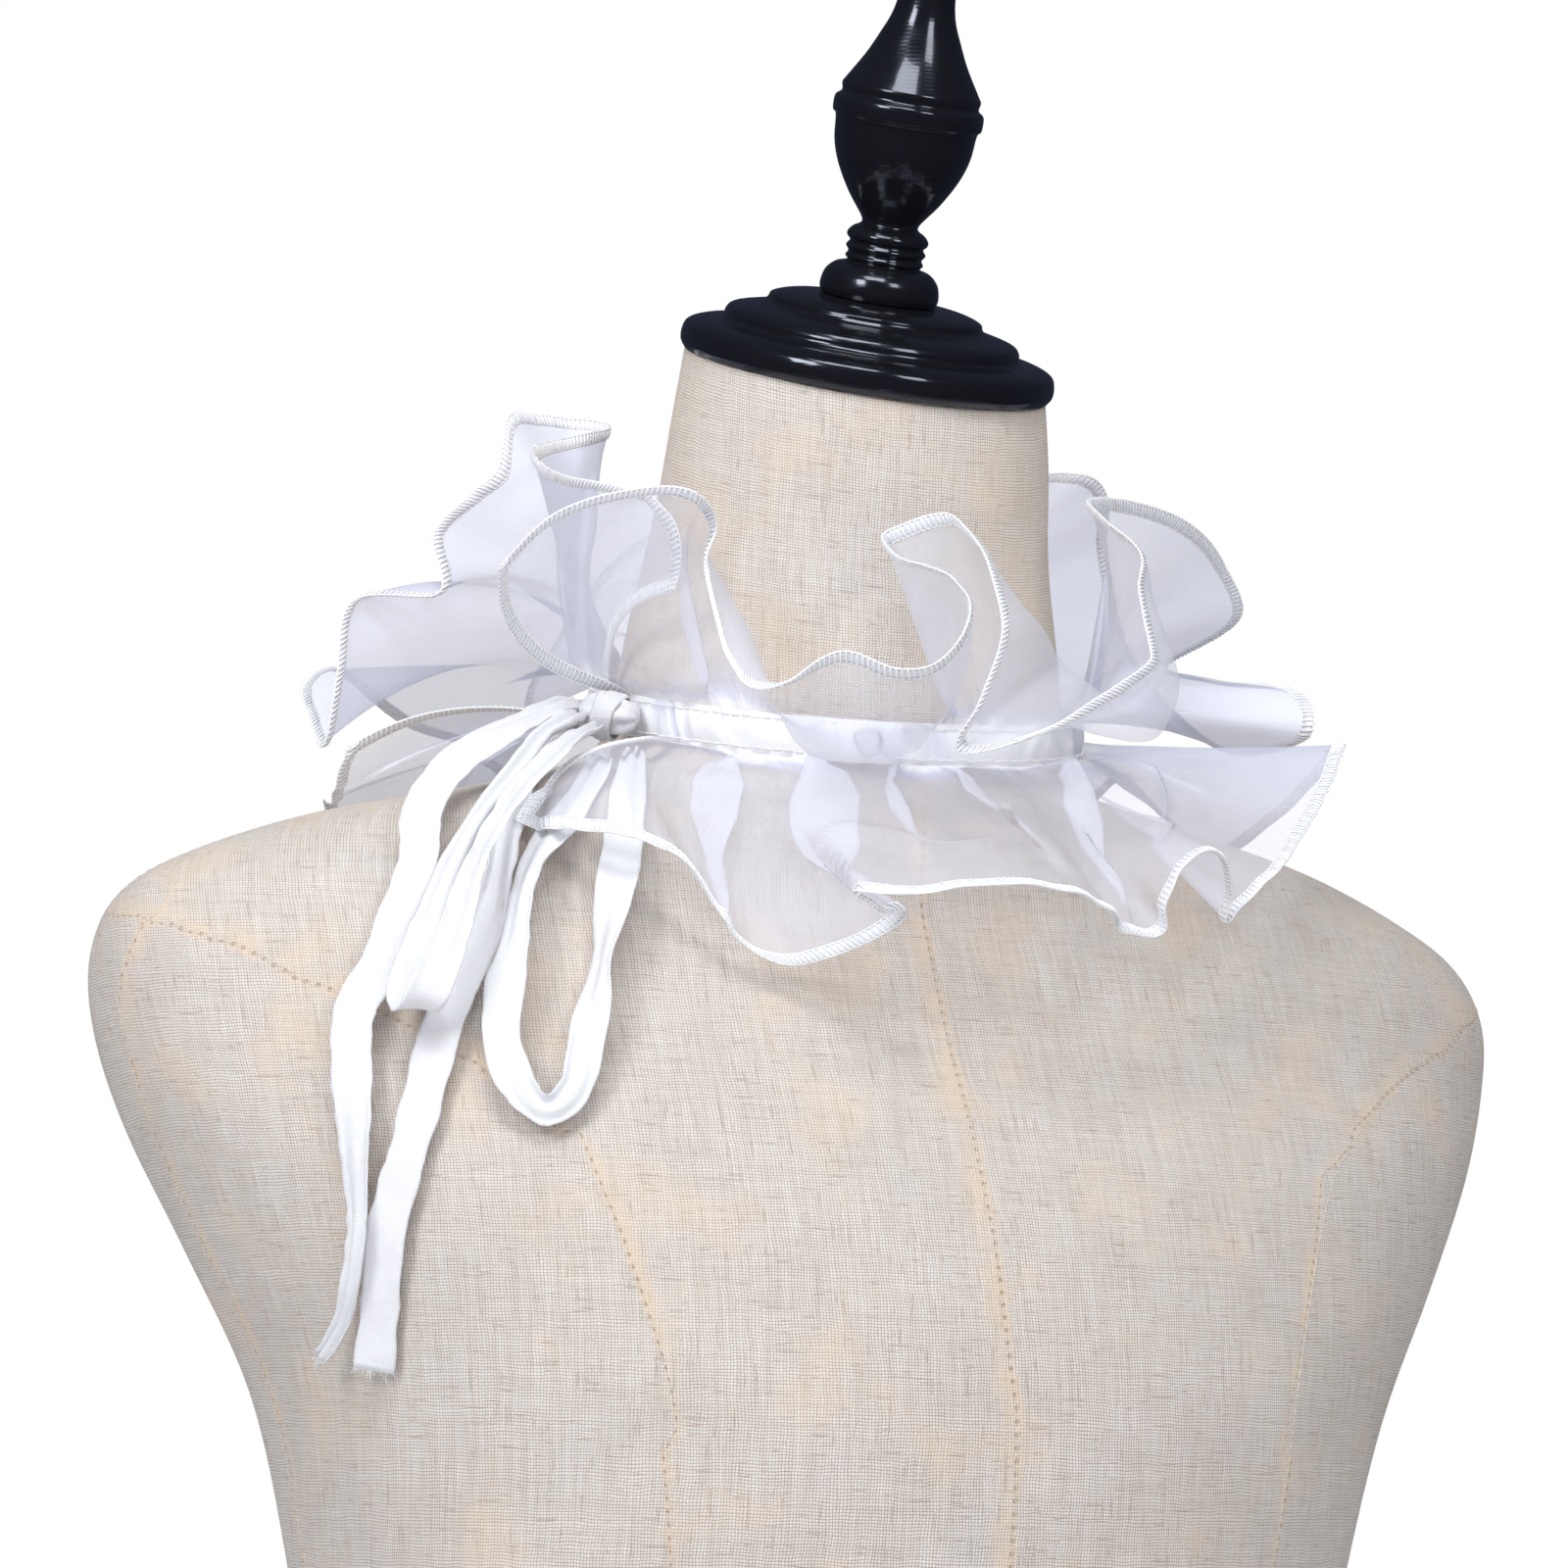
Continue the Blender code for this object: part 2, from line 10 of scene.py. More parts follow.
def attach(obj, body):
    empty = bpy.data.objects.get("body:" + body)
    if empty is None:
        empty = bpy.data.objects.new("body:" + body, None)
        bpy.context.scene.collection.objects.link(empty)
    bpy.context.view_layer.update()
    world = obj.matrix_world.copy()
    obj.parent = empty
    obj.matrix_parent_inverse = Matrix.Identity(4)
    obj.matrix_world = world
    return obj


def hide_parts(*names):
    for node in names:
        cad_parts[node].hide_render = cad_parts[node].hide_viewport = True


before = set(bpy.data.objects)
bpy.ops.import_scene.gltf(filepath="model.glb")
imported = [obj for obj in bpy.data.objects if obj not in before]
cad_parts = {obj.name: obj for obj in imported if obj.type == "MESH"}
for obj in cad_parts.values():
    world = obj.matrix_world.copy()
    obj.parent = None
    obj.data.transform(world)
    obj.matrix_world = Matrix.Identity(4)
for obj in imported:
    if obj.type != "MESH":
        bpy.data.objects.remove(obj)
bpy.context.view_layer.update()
print("frame loaded")

mm = 0.001
fullTurn = math.tau

cameraView = {
    "azimuth": -23.0, "elevation": -7.5, "roll": 1.5,     # degrees
    "aim": (-0.012, 0.005, 0.447), "distance": 1.35, "lens": 118.46,
}
studio = {
    "backdrop": (1.0, 1.0, 1.0),
    "fill": (0.93, 0.945, 1.0), "fillStrength": 0.37, "mirrored": (0.028, 0.033, 0.055),
    # azimuth, elevation, distance, width, height, watts, colour
    "softboxes": (
        (-56, 24, 1.9, 0.5, 0.7, 15, (0.97, 0.985, 1.0)),
        (8, 26, 1.9, 0.45, 0.6, 7, (0.97, 0.985, 1.0)),
        (-26, 50, 1.9, 0.9, 0.6, 15, (0.96, 0.985, 1.0)),
    ),
    "floorSize": 2.4, "floorColour": (0.86, 0.86, 0.87),
}


def backVector(azimuth, elevation):
    a, e = math.radians(azimuth), math.radians(elevation)
    return Vector((math.sin(a) * math.cos(e), -math.cos(a) * math.cos(e), math.sin(e)))


def addCamera(view):
    back = backVector(view["azimuth"], view["elevation"])
    right = (-back).cross(Vector((0, 0, 1))).normalized()
    up = right.cross(-back)
    turn = math.radians(view["roll"])
    right, up = math.cos(turn) * right + math.sin(turn) * up, math.cos(turn) * up - math.sin(turn) * right
    camera = bpy.data.objects.new("camera", bpy.data.cameras.new("camera"))
    camera.data.lens = view["lens"]
    camera.data.sensor_width = 36
    camera.data.clip_end = 20
    place = Matrix((right, up, back)).transposed().to_4x4()
    place.translation = Vector(view["aim"]) + back * view["distance"]
    camera.matrix_world = place
    bpy.context.scene.collection.objects.link(camera)
    bpy.context.scene.camera = camera


def node(tree, kind, inputs=None, **settings):
    # one node, its settings, and each input either linked or given a value
    made = tree.nodes.new("ShaderNode" + kind)
    for key, value in settings.items():
        setattr(made, key, value)
    for key, value in (inputs or {}).items():
        if isinstance(value, bpy.types.NodeSocket):
            tree.links.new(value, made.inputs[key])
        else:
            made.inputs[key].default_value = value
    return made


def calc(tree, operation, *values):
    return node(tree, "Math", dict(enumerate(values)), operation=operation).outputs[0]


def times(tree, first, second):
    return calc(tree, "MULTIPLY", first, second)


def plus(tree, first, second):
    return calc(tree, "ADD", first, second)


def minus(tree, first, second):
    return calc(tree, "SUBTRACT", first, second)


def ramp(tree, value, low, high, start=0.0, stop=1.0):
    return node(tree, "MapRange", {0: value, 1: low, 2: high, 3: start, 4: stop},
                interpolation_type="SMOOTHSTEP").outputs[0]


def tint(tree, factor, first, second, way="MIX"):
    made = node(tree, "Mix", {0: factor}, data_type="RGBA", blend_type=way)
    for index, colour in ((6, first), (7, second)):
        if isinstance(colour, bpy.types.NodeSocket):
            tree.links.new(colour, made.inputs[index])
        else:
            made.inputs[index].default_value = (*colour, 1)
    return made.outputs[2]


def newMaterial(name, fixed):
    # a material with fixed values for some of its shader's inputs
    material = bpy.data.materials.new(name)
    material.use_nodes = True
    tree = material.node_tree
    shader = tree.nodes["Principled BSDF"].inputs
    for key, value in fixed.items():
        shader[key].default_value = value
    return material, tree, shader


def addWorld(kit):
    world = bpy.data.worlds.new("studio")
    world.use_nodes = True
    tree = world.node_tree
    tree.nodes.clear()
    seen = node(tree, "Background", {"Color": (*kit["backdrop"], 1), "Strength": 1})
    lit = node(tree, "Background", {"Color": (*kit["fill"], 1), "Strength": kit["fillStrength"]})
    dim = node(tree, "Background", {"Color": (*kit["mirrored"], 1), "Strength": 1})
    ray = node(tree, "LightPath").outputs
    glossy = node(tree, "MixShader", {0: ray["Is Glossy Ray"], 1: lit.outputs[0], 2: dim.outputs[0]})
    both = node(tree, "MixShader", {0: ray["Is Camera Ray"], 1: glossy.outputs[0], 2: seen.outputs[0]})
    node(tree, "OutputWorld", {"Surface": both.outputs[0]})
    bpy.context.scene.world = world


def addSoftboxes(kit, aim):
    for i, (azimuth, elevation, distance, width, height, watts, colour) in enumerate(kit["softboxes"]):
        lamp = bpy.data.lights.new(f"softbox{i}", "AREA")
        lamp.shape = "RECTANGLE"
        lamp.size, lamp.size_y = width, height
        lamp.energy = watts
        lamp.color = colour
        obj = bpy.data.objects.new(f"softbox{i}", lamp)
        back = backVector(azimuth, elevation)
        turn = back.to_track_quat("Z", "Y").to_matrix().to_4x4()
        obj.matrix_world = Matrix.Translation(aim + back * distance) @ turn
        bpy.context.scene.collection.objects.link(obj)


def addFloor(kit):
    shape = bmesh.new()
    bmesh.ops.create_grid(shape, x_segments=8, y_segments=8, size=kit["floorSize"])
    paper, tree, _ = newMaterial("paper", {"Base Color": (*kit["floorColour"], 1), "Roughness": 0.9})
    # polished wood sees the floor as dark as the rest of the room
    dim = node(tree, "Emission", {"Color": (*kit["mirrored"], 1)})
    ray = node(tree, "LightPath").outputs["Is Glossy Ray"]
    lit = tree.nodes["Principled BSDF"].outputs[0]
    mixed = node(tree, "MixShader", {0: ray, 1: lit, 2: dim.outputs[0]})
    tree.links.new(mixed.outputs[0], tree.nodes["Material Output"].inputs["Surface"])
    putMesh("floor", shape, paper)


def putMesh(name, shape, material, sharp=None):
    mesh = bpy.data.meshes.new(name)
    shape.to_mesh(mesh)
    shape.free()
    mesh.shade_smooth()
    if sharp is not None:
        mesh.set_sharp_from_angle(angle=math.radians(sharp))
    mesh.materials.append(material)
    obj = bpy.data.objects.new(name, mesh)
    bpy.context.scene.collection.objects.link(obj)
    return obj


bpy.context.scene.view_settings.view_transform = "Standard"
addCamera(cameraView)
addWorld(studio)
addSoftboxes(studio, Vector(cameraView["aim"]))
addFloor(studio)
print("camera, light and floor made")


# effects that more than one material uses
def newGroup(name, inputs, outputs):
    tree = bpy.data.node_groups.new(name, "ShaderNodeTree")
    for title, value in inputs.items():
        kind = "NodeSocketVector" if value is None else "NodeSocketFloat"
        socket = tree.interface.new_socket(title, in_out="INPUT", socket_type=kind)
        if value is not None:
            socket.default_value = value
    for title in outputs:
        tree.interface.new_socket(title, in_out="OUTPUT", socket_type="NodeSocketFloat")
    return tree, tree.nodes.new("NodeGroupInput").outputs, tree.nodes.new("NodeGroupOutput").inputs


def weaveGroup():
    # plain weave in metres: Height is the threads' relief, Over tells warp from weft
    values = {"Vector": None, "Pitch": 0.001, "Uneven": 0.5}
    tree, take, give = newGroup("plainWeave", values, ("Height", "Over"))
    scaled = node(tree, "VectorMath", {0: take["Vector"], 3: calc(tree, "DIVIDE", 1.0, take["Pitch"])},
                  operation="SCALE").outputs[0]
    drift = node(tree, "TexNoise", {"Vector": scaled, "Scale": 0.07, "Detail": 3.0}).outputs["Color"]
    drift = node(tree, "VectorMath", {0: drift, 1: (0.5, 0.5, 0.5)}, operation="SUBTRACT").outputs[0]
    drift = node(tree, "VectorMath", {0: drift, 3: times(tree, take["Uneven"], 3.0)},
                 operation="SCALE").outputs[0]
    spot = node(tree, "VectorMath", {0: scaled, 1: drift}, operation="ADD").outputs[0]
    parts = node(tree, "SeparateXYZ", {0: spot}).outputs
    warp = calc(tree, "SINE", times(tree, parts[0], math.pi))
    weft = calc(tree, "SINE", times(tree, parts[1], math.pi))
    both = times(tree, warp, weft)
    tree.links.new(calc(tree, "SQRT", calc(tree, "ABSOLUTE", both)), give["Height"])
    tree.links.new(ramp(tree, both, -0.4, 0.4), give["Over"])
    return tree


def slubGroup():
    # thick places in the yarn: streaks that are Long by Thin metres, a Share of the cloth
    values = {"Vector": None, "Long": 0.02, "Thin": 0.001, "Share": 0.1}
    tree, take, give = newGroup("slubs", values, ("Mask",))
    parts = node(tree, "SeparateXYZ", {0: take["Vector"]}).outputs
    along = calc(tree, "DIVIDE", parts[0], take["Long"])
    across = calc(tree, "DIVIDE", parts[1], take["Thin"])
    spot = node(tree, "CombineXYZ", {0: along, 1: across}).outputs[0]
    cloud = node(tree, "TexNoise", {"Vector": spot, "Scale": 1.0, "Detail": 2.0}).outputs[0]
    start = minus(tree, 0.74, times(tree, take["Share"], 0.6))
    stop = plus(tree, start, 0.1)
    tree.links.new(ramp(tree, cloud, start, stop), give["Mask"])
    return tree


def mottleGroup():
    # slow change over the surface, 1 on average
    tree, take, give = newGroup("mottle", {"Vector": None, "Size": 0.03, "Contrast": 0.1}, ("Value",))
    scale = calc(tree, "DIVIDE", 1.0, take["Size"])
    values = {"Vector": take["Vector"], "Scale": scale, "Detail": 4.0, "Roughness": 0.55}
    cloud = node(tree, "TexNoise", values).outputs[0]
    strength = times(tree, take["Contrast"], 3.0)
    swing = times(tree, minus(tree, cloud, 0.5), strength)
    tree.links.new(plus(tree, swing, 1.0), give["Value"])
    return tree


plainWeave = weaveGroup()
slubs = slubGroup()
mottle = mottleGroup()


def effect(tree, group, **inputs):
    made = tree.nodes.new("ShaderNodeGroup")
    made.node_tree = group
    for key, value in inputs.items():
        if isinstance(value, bpy.types.NodeSocket):
            tree.links.new(value, made.inputs[key])
        else:
            made.inputs[key].default_value = value
    return made.outputs


def crosswise(tree, flat):
    return node(tree, "Mapping", {"Vector": flat, "Rotation": (0, 0, math.pi / 2)}).outputs[0]


def flatPlace(tree):
    return node(tree, "UVMap", uv_map="cloth").outputs[0]


def bodyPlace(tree):
    return node(tree, "TexCoord").outputs["Object"]


def bump(tree, shader, height, distance, strength=1.0):
    made = node(tree, "Bump", {"Height": height, "Distance": distance, "Strength": strength})
    tree.links.new(made.outputs[0], shader["Normal"])


linenLook = {
    "pitch": 0.00078, "uneven": 0.8, "relief": 0.00028,      # metres between threads, and how deep they are
    "pale": (0.785, 0.727, 0.68), "dark": (0.445, 0.37, 0.305), "slub": (0.42, 0.285, 0.185),
    "peach": (0.85, 0.66, 0.48), "cool": (0.62, 0.62, 0.66), "paintedWarmLight": (0.99, 0.84, 0.68),
    "slubLong": 0.010, "slubThin": 0.0008, "slubShare": 0.20,
    "streak": 0.0011, "patch": 0.03, "shadeSize": 0.035, "washSize": 0.012,
    "stitchPitch": 0.0031, "holeSize": 0.00034, "stainWidth": 0.0085,
    # how much of each colour goes over the pale thread
    "weftAmount": 0.10, "slubAmount": 0.38, "peachAmount": 0.34, "coolAmount": 0.14, "holeAmount": 0.6,
    # the painted warm light on the sides of the neck: how much of it, the heights it begins between and how
    # far out to each side
    "paintedLightShare": 0.55, "neckFrom": 0.43, "neckTo": 0.49, "sideFrom": 0.018, "sideTo": 0.052,
}


def yarnShade(tree, look, flat):
    # thin places let the darker, browner yarn show
    upright = node(tree, "Mapping", {"Vector": flat, "Scale": (1, 0.05, 1)}).outputs[0]
    level = node(tree, "Mapping", {"Vector": flat, "Scale": (0.05, 1, 1)}).outputs[0]
    warp = effect(tree, mottle, Vector=upright, Size=look["streak"], Contrast=0.13)["Value"]
    weft = effect(tree, mottle, Vector=level, Size=look["streak"], Contrast=0.09)["Value"]
    slow = effect(tree, mottle, Vector=flat, Size=look["shadeSize"], Contrast=0.06)["Value"]
    shade = times(tree, times(tree, warp, weft), slow)
    green, blue = (calc(tree, "POWER", shade, power) for power in (1.25, 1.5))
    return node(tree, "CombineColor", {0: shade, 1: green, 2: blue}).outputs[0], slow


def paintedNeckLight(tree, look):
    # painted warm light on the sides of the neck, as seen from the front
    where = node(tree, "SeparateXYZ", {0: bodyPlace(tree)}).outputs
    turn = math.radians(cameraView["azimuth"])
    across = times(tree, where[0], math.cos(turn))
    across = plus(tree, across, times(tree, where[1], math.sin(turn)))
    across = calc(tree, "ABSOLUTE", across)
    side = ramp(tree, across, look["sideFrom"], look["sideTo"], 0.0, look["paintedLightShare"])
    return times(tree, side, ramp(tree, where[2], look["neckFrom"], look["neckTo"]))


def seamMarks(tree, look, seam, wash):
    # the stain beside a seam, and its needle holes with the dark line between them
    spot = node(tree, "SeparateXYZ", {0: node(tree, "Attribute", attribute_name=seam).outputs["Vector"]})
    off, run = spot.outputs[0], spot.outputs[1]
    near = times(tree, ramp(tree, off, -look["stainWidth"], -0.001), ramp(tree, off, 0.0025, 0.0005))
    stain = times(tree, near, wash)
    beat = calc(tree, "FRACT", calc(tree, "DIVIDE", run, look["stitchPitch"]))
    beat = calc(tree, "ABSOLUTE", minus(tree, beat, 0.5))
    along = times(tree, beat, look["stitchPitch"])
    squares = plus(tree, calc(tree, "POWER", along, 2.0), calc(tree, "POWER", off, 2.0))
    hole = ramp(tree, calc(tree, "SQRT", squares), look["holeSize"], look["holeSize"] * 2.1, 1.0, 0.0)
    line = ramp(tree, calc(tree, "ABSOLUTE", off), 0.0002, 0.0008, 0.16, 0.0)
    return stain, calc(tree, "MAXIMUM", hole, line)


def linenMaterial(look):
    material, tree, shader = newMaterial("linen", {"Sheen Weight": 0.12, "Sheen Roughness": 0.5})
    flat = flatPlace(tree)
    turned = crosswise(tree, flat)
    weave = effect(tree, plainWeave, Vector=flat, Pitch=look["pitch"], Uneven=look["uneven"])
    thin, share = look["slubThin"], look["slubShare"]
    weft = effect(tree, slubs, Vector=flat, Long=look["slubLong"] * 0.9, Thin=thin, Share=share)["Mask"]
    warp = effect(tree, slubs, Vector=turned, Long=look["slubLong"], Thin=thin, Share=share)["Mask"]
    thick = calc(tree, "MAXIMUM", weft, warp)
    deep = ramp(tree, weave["Height"], 0.1, 0.75)
    colour = tint(tree, deep, look["dark"], look["pale"])
    colour = tint(tree, times(tree, weave["Over"], look["weftAmount"]), colour, look["dark"])
    colour = tint(tree, times(tree, thick, look["slubAmount"]), colour, look["slub"])
    yarn, slow = yarnShade(tree, look, flat)
    colour = tint(tree, 1.0, colour, yarn, "MULTIPLY")
    patches = effect(tree, mottle, Vector=flat, Size=look["patch"], Contrast=0.5)["Value"]
    colour = tint(tree, ramp(tree, patches, 0.98, 1.32, 0.0, look["peachAmount"]), colour, look["peach"])
    colour = tint(tree, ramp(tree, patches, 0.95, 0.65, 0.0, look["coolAmount"]), colour, look["cool"])
    # painted warm light on the neck's sides, on the raised threads
    colour = tint(tree, times(tree, paintedNeckLight(tree, look), deep), colour, look["paintedWarmLight"])
    wash = effect(tree, mottle, Vector=flat, Size=look["washSize"], Contrast=0.6)["Value"]
    wash = ramp(tree, wash, 0.7, 1.35, 0.08, 0.66)
    holes = 0.0
    for seam in seams:
        stain, hole = seamMarks(tree, look, seam, wash)
        colour = tint(tree, stain, colour, look["peach"])
        holes = calc(tree, "MAXIMUM", holes, hole)
    colour = tint(tree, times(tree, holes, look["holeAmount"]), colour, look["slub"])
    tree.links.new(colour, shader["Base Color"])
    tree.links.new(ramp(tree, slow, 0.9, 1.1, 0.82, 0.95), shader["Roughness"])
    height = plus(tree, weave["Height"], times(tree, thick, 0.7))
    height = minus(tree, height, times(tree, holes, 2.5))
    bump(tree, shader, height, look["relief"], 0.7)
    return material


organzaLook = {
    "pitch": 0.00034, "relief": 0.00006,
    # the sheer cloth, a darker bluer copy of it as painted shade where it lies double, and where it is
    # gathered
    "colour": (0.875, 0.88, 0.99), "deep": (0.80, 0.82, 1.0), "gathered": (0.96, 0.96, 0.99),
    "cover": 0.39, "gatheredCover": 0.93,
    "shadow": 0.4,                                   # how much of its cover counts as shade
    "streaks": 0.34, "broad": 0.009, "fine": 0.0032, "draws": 0.0011, "drawnOver": 0.055,
}


def drawnThreads(tree, look, flat):
    # threads drawn towards the casing, strongest there
    drawn = node(tree, "Mapping", {"Vector": flat, "Scale": (1, 0.12, 1)}).outputs[0]
    broad = effect(tree, mottle, Vector=drawn, Size=look["broad"], Contrast=look["streaks"])["Value"]
    fine = effect(tree, mottle, Vector=drawn, Size=look["fine"], Contrast=look["streaks"] * 0.2)["Value"]
    depth = node(tree, "SeparateXYZ", {0: flat}).outputs[1]
    near = ramp(tree, depth, 0.0, look["drawnOver"], 1.0, 0.15)
    return times(tree, minus(tree, times(tree, broad, fine), 1.0), near)


def organzaMaterial(look):
    material, tree, shader = newMaterial("organza", {
        "Sheen Weight": 0.35, "Sheen Roughness": 0.35, "Sheen Tint": (0.95, 0.97, 1.0, 1),
        "Specular IOR Level": 0.35,
    })
    flat = flatPlace(tree)
    turned = crosswise(tree, flat)
    weave = effect(tree, plainWeave, Vector=flat, Pitch=look["pitch"], Uneven=0.25)["Height"]
    cloud = effect(tree, mottle, Vector=flat, Size=0.02, Contrast=0.07)["Value"]
    thick = effect(tree, slubs, Vector=turned, Long=0.05, Thin=0.0006, Share=0.1)["Mask"]
    streaks = drawnThreads(tree, look, flat)
    gather = node(tree, "Attribute", attribute_name="gather").outputs["Fac"]
    white = plus(tree, gather, times(tree, streaks, 1.2))
    # painted shade: where the gather is middling, where the cloth lies double and where the gathers fade from
    # the casing, it takes the darker bluer colour
    colour = tint(tree, ramp(tree, gather, 0.15, 0.5), look["colour"], look["deep"])
    colour = tint(tree, ramp(tree, white, 0.5, 0.9), colour, look["gathered"])
    tree.links.new(colour, shader["Base Color"])
    cover = ramp(tree, gather, 0.0, 1.0, look["cover"], look["gatheredCover"])
    cover = times(tree, cover, plus(tree, cloud, times(tree, streaks, 0.8)))
    cover = plus(tree, cover, times(tree, thick, 0.05))
    cover = plus(tree, cover, times(tree, minus(tree, weave, 0.6), 0.05))
    # light scatters on through sheer cloth, so it shades what lies behind less than it hides it
    unseen = minus(tree, 1.0, node(tree, "LightPath").outputs["Is Camera Ray"])
    through = minus(tree, 1.0, times(tree, unseen, 1 - look["shadow"]))
    tree.links.new(times(tree, cover, through), shader["Alpha"])
    tree.links.new(ramp(tree, weave, 0.0, 1.0, 0.62, 0.42), shader["Roughness"])
    height = times(tree, weave, look["relief"] / look["draws"])
    bump(tree, shader, plus(tree, height, streaks), look["draws"], 0.6)
    return material


# what each thread's fibres and the hollows between them look like
threadLooks = {
    "overlockThread": ((1.0, 1.0, 1.0), (0.93, 0.935, 0.97)),
    "hemThread": ((0.90, 0.905, 0.95), (0.79, 0.80, 0.87)),
    "cottonThread": ((0.94, 0.94, 0.96), (0.84, 0.84, 0.88)),
    "linenThread": ((0.82, 0.75, 0.68), (0.62, 0.53, 0.45)),
}


def threadMaterial(name):
    colour, shadow = threadLooks[name]
    material, tree, shader = newMaterial(name, {"Sheen Weight": 0.3, "Sheen Roughness": 0.3})
    fuzz = node(tree, "TexNoise", {"Vector": bodyPlace(tree), "Scale": 2600.0, "Detail": 2.0}).outputs[0]
    tree.links.new(tint(tree, ramp(tree, fuzz, 0.35, 0.6), shadow, colour), shader["Base Color"])
    tree.links.new(ramp(tree, fuzz, 0.3, 0.7, 0.62, 0.42), shader["Roughness"])
    bump(tree, shader, fuzz, 0.0001, 0.5)
    return material


cottonLook = {
    "pitch": 0.00045, "relief": 0.00016, "colour": (0.935, 0.935, 0.96), "shadow": (0.78, 0.78, 0.82),
    "rumple": 0.0035,
}


def cottonMaterial(look):
    material, tree, shader = newMaterial("cottonTape", {"Sheen Weight": 0.2, "Sheen Roughness": 0.4})
    flat = flatPlace(tree)
    weave = effect(tree, plainWeave, Vector=flat, Pitch=look["pitch"], Uneven=0.3)["Height"]
    slow = effect(tree, mottle, Vector=flat, Size=0.008, Contrast=0.03)["Value"]
    thick = effect(tree, slubs, Vector=flat, Long=0.012, Thin=0.0005, Share=0.12)["Mask"]
    rumple = effect(tree, mottle, Vector=flat, Size=look["rumple"], Contrast=1.0)["Value"]
    colour = tint(tree, ramp(tree, weave, 0.2, 0.8), look["shadow"], look["colour"])
    grey = node(tree, "CombineColor", {0: slow, 1: slow, 2: slow}).outputs[0]
    tree.links.new(tint(tree, 1.0, colour, grey, "MULTIPLY"), shader["Base Color"])
    tree.links.new(ramp(tree, weave, 0.0, 1.0, 0.95, 0.8), shader["Roughness"])
    height = plus(tree, weave, times(tree, thick, 0.8))
    bump(tree, shader, plus(tree, height, times(tree, rumple, 1.6)), look["relief"], 0.6)
    return material


lacquerLook = {
    "colour": (0.0075, 0.0078, 0.010), "dust": (0.10, 0.10, 0.11), "gloss": (0.72, 0.80, 1.0),
    "ringPitch": 0.0011,      # metres between the tool's rings
}


def lacquerMaterial(look):
    material, tree, shader = newMaterial("blackLacquer", {
        "Coat Weight": 0.45, "Coat Roughness": 0.05, "Specular IOR Level": 0.5,
        "Specular Tint": (*look["gloss"], 1),
    })
    spot = bodyPlace(tree)
    smear = effect(tree, mottle, Vector=spot, Size=0.012, Contrast=0.6)["Value"]
    specks = node(tree, "TexVoronoi", {"Vector": spot, "Scale": 260.0}).outputs["Distance"]
    dust = times(tree, ramp(tree, specks, 0.07, 0.03), ramp(tree, smear, 1.1, 1.3))
    stretch = {"Vector": spot, "Scale": (900, 900, 40), "Rotation": (0.5, 0.3, 0)}
    stretched = node(tree, "Mapping", stretch).outputs[0]
    scratch = ramp(tree, node(tree, "TexNoise", {"Vector": stretched, "Scale": 1.0}).outputs[0], 0.70, 0.78)
    scratch = times(tree, scratch, ramp(tree, smear, 1.0, 1.25))
    marks = calc(tree, "MAXIMUM", dust, times(tree, scratch, 0.5))
    colour = tint(tree, times(tree, marks, 0.3), look["colour"], look["dust"])
    tree.links.new(colour, shader["Base Color"])
    tree.links.new(ramp(tree, smear, 0.7, 1.4, 0.12, 0.22), shader["Roughness"])
    height = node(tree, "SeparateXYZ", {0: spot}).outputs[2]
    rings = calc(tree, "SINE", times(tree, height, fullTurn / look["ringPitch"]))
    peel = node(tree, "TexNoise", {"Vector": spot, "Scale": 180.0, "Detail": 1.0}).outputs[0]
    bump(tree, shader, plus(tree, times(tree, rings, 0.1), peel), 0.00012, 0.35)
    return material


middleSeams = ("centreSeam", "backSeam")
seams = ("centreSeam", "chestSeam", "shoulderSeam", "armSeam", "backSeam")
linen = linenMaterial(linenLook)
organza = organzaMaterial(organzaLook)
overlockThread, hemThread, cottonThread, linenThread = map(threadMaterial, threadLooks)
cottonTape = cottonMaterial(cottonLook)
blackLacquer = lacquerMaterial(lacquerLook)
print("materials made")


def gridPiece(name, spots, flat, material, tube=False, gather=None):
    # a grid whose vertices go to spots, which are columns by rows of places in mm, and whose UV
    # map says where each of them lay in the flat cloth, in metres
    columns, rows = spots.shape[:2]
    shape = bmesh.new()
    bmesh.ops.create_grid(shape, x_segments=columns - 1, y_segments=rows - 1, size=0.5)
    order = spots.transpose(1, 0, 2).reshape(-1, 3) * mm
    lay = flat.transpose(1, 0, 2).reshape(-1, 2)
    cloth = shape.loops.layers.uv.new("cloth")
    if gather is not None:
        dense = shape.verts.layers.float.new("gather")
        amount = gather.transpose(1, 0).reshape(-1)
    shape.verts.ensure_lookup_table()
    for i, vert in enumerate(shape.verts):
        vert.co = order[i]
        if gather is not None:
            vert[dense] = amount[i]
    for face in shape.faces:
        for loop in face.loops:
            loop[cloth].uv = lay[loop.vert.index]
    if tube:
        bmesh.ops.remove_doubles(shape, verts=shape.verts, dist=1e-7)
        bmesh.ops.holes_fill(shape, edges=[edge for edge in shape.edges if edge.is_boundary])
        bmesh.ops.recalc_face_normals(shape, faces=shape.faces)
    return putMesh(name, shape, material)


def splineRows(rows, places):
    # smooth values through the rows of a list, where a place counts rows from the first
    rows = np.array(rows, float)
    last = len(rows) - 1
    i = np.minimum(places.astype(int), last - 1)
    t = (places - i)[:, None]
    a, b, c, d = (rows[np.clip(i + k, 0, last)] for k in (-1, 0, 1, 2))
    return b + 0.5 * t * (c - a + t * (2 * a - 5 * b + 4 * c - d + t * (3 * (b - c) + d - a)))


def runLength(points):
    steps = np.linalg.norm(np.diff(points, axis=0), axis=-1)
    return np.concatenate((np.zeros((1, *steps.shape[1:])), np.cumsum(steps, axis=0)))


def unit(vectors):
    return vectors / np.linalg.norm(vectors, axis=-1, keepdims=True)


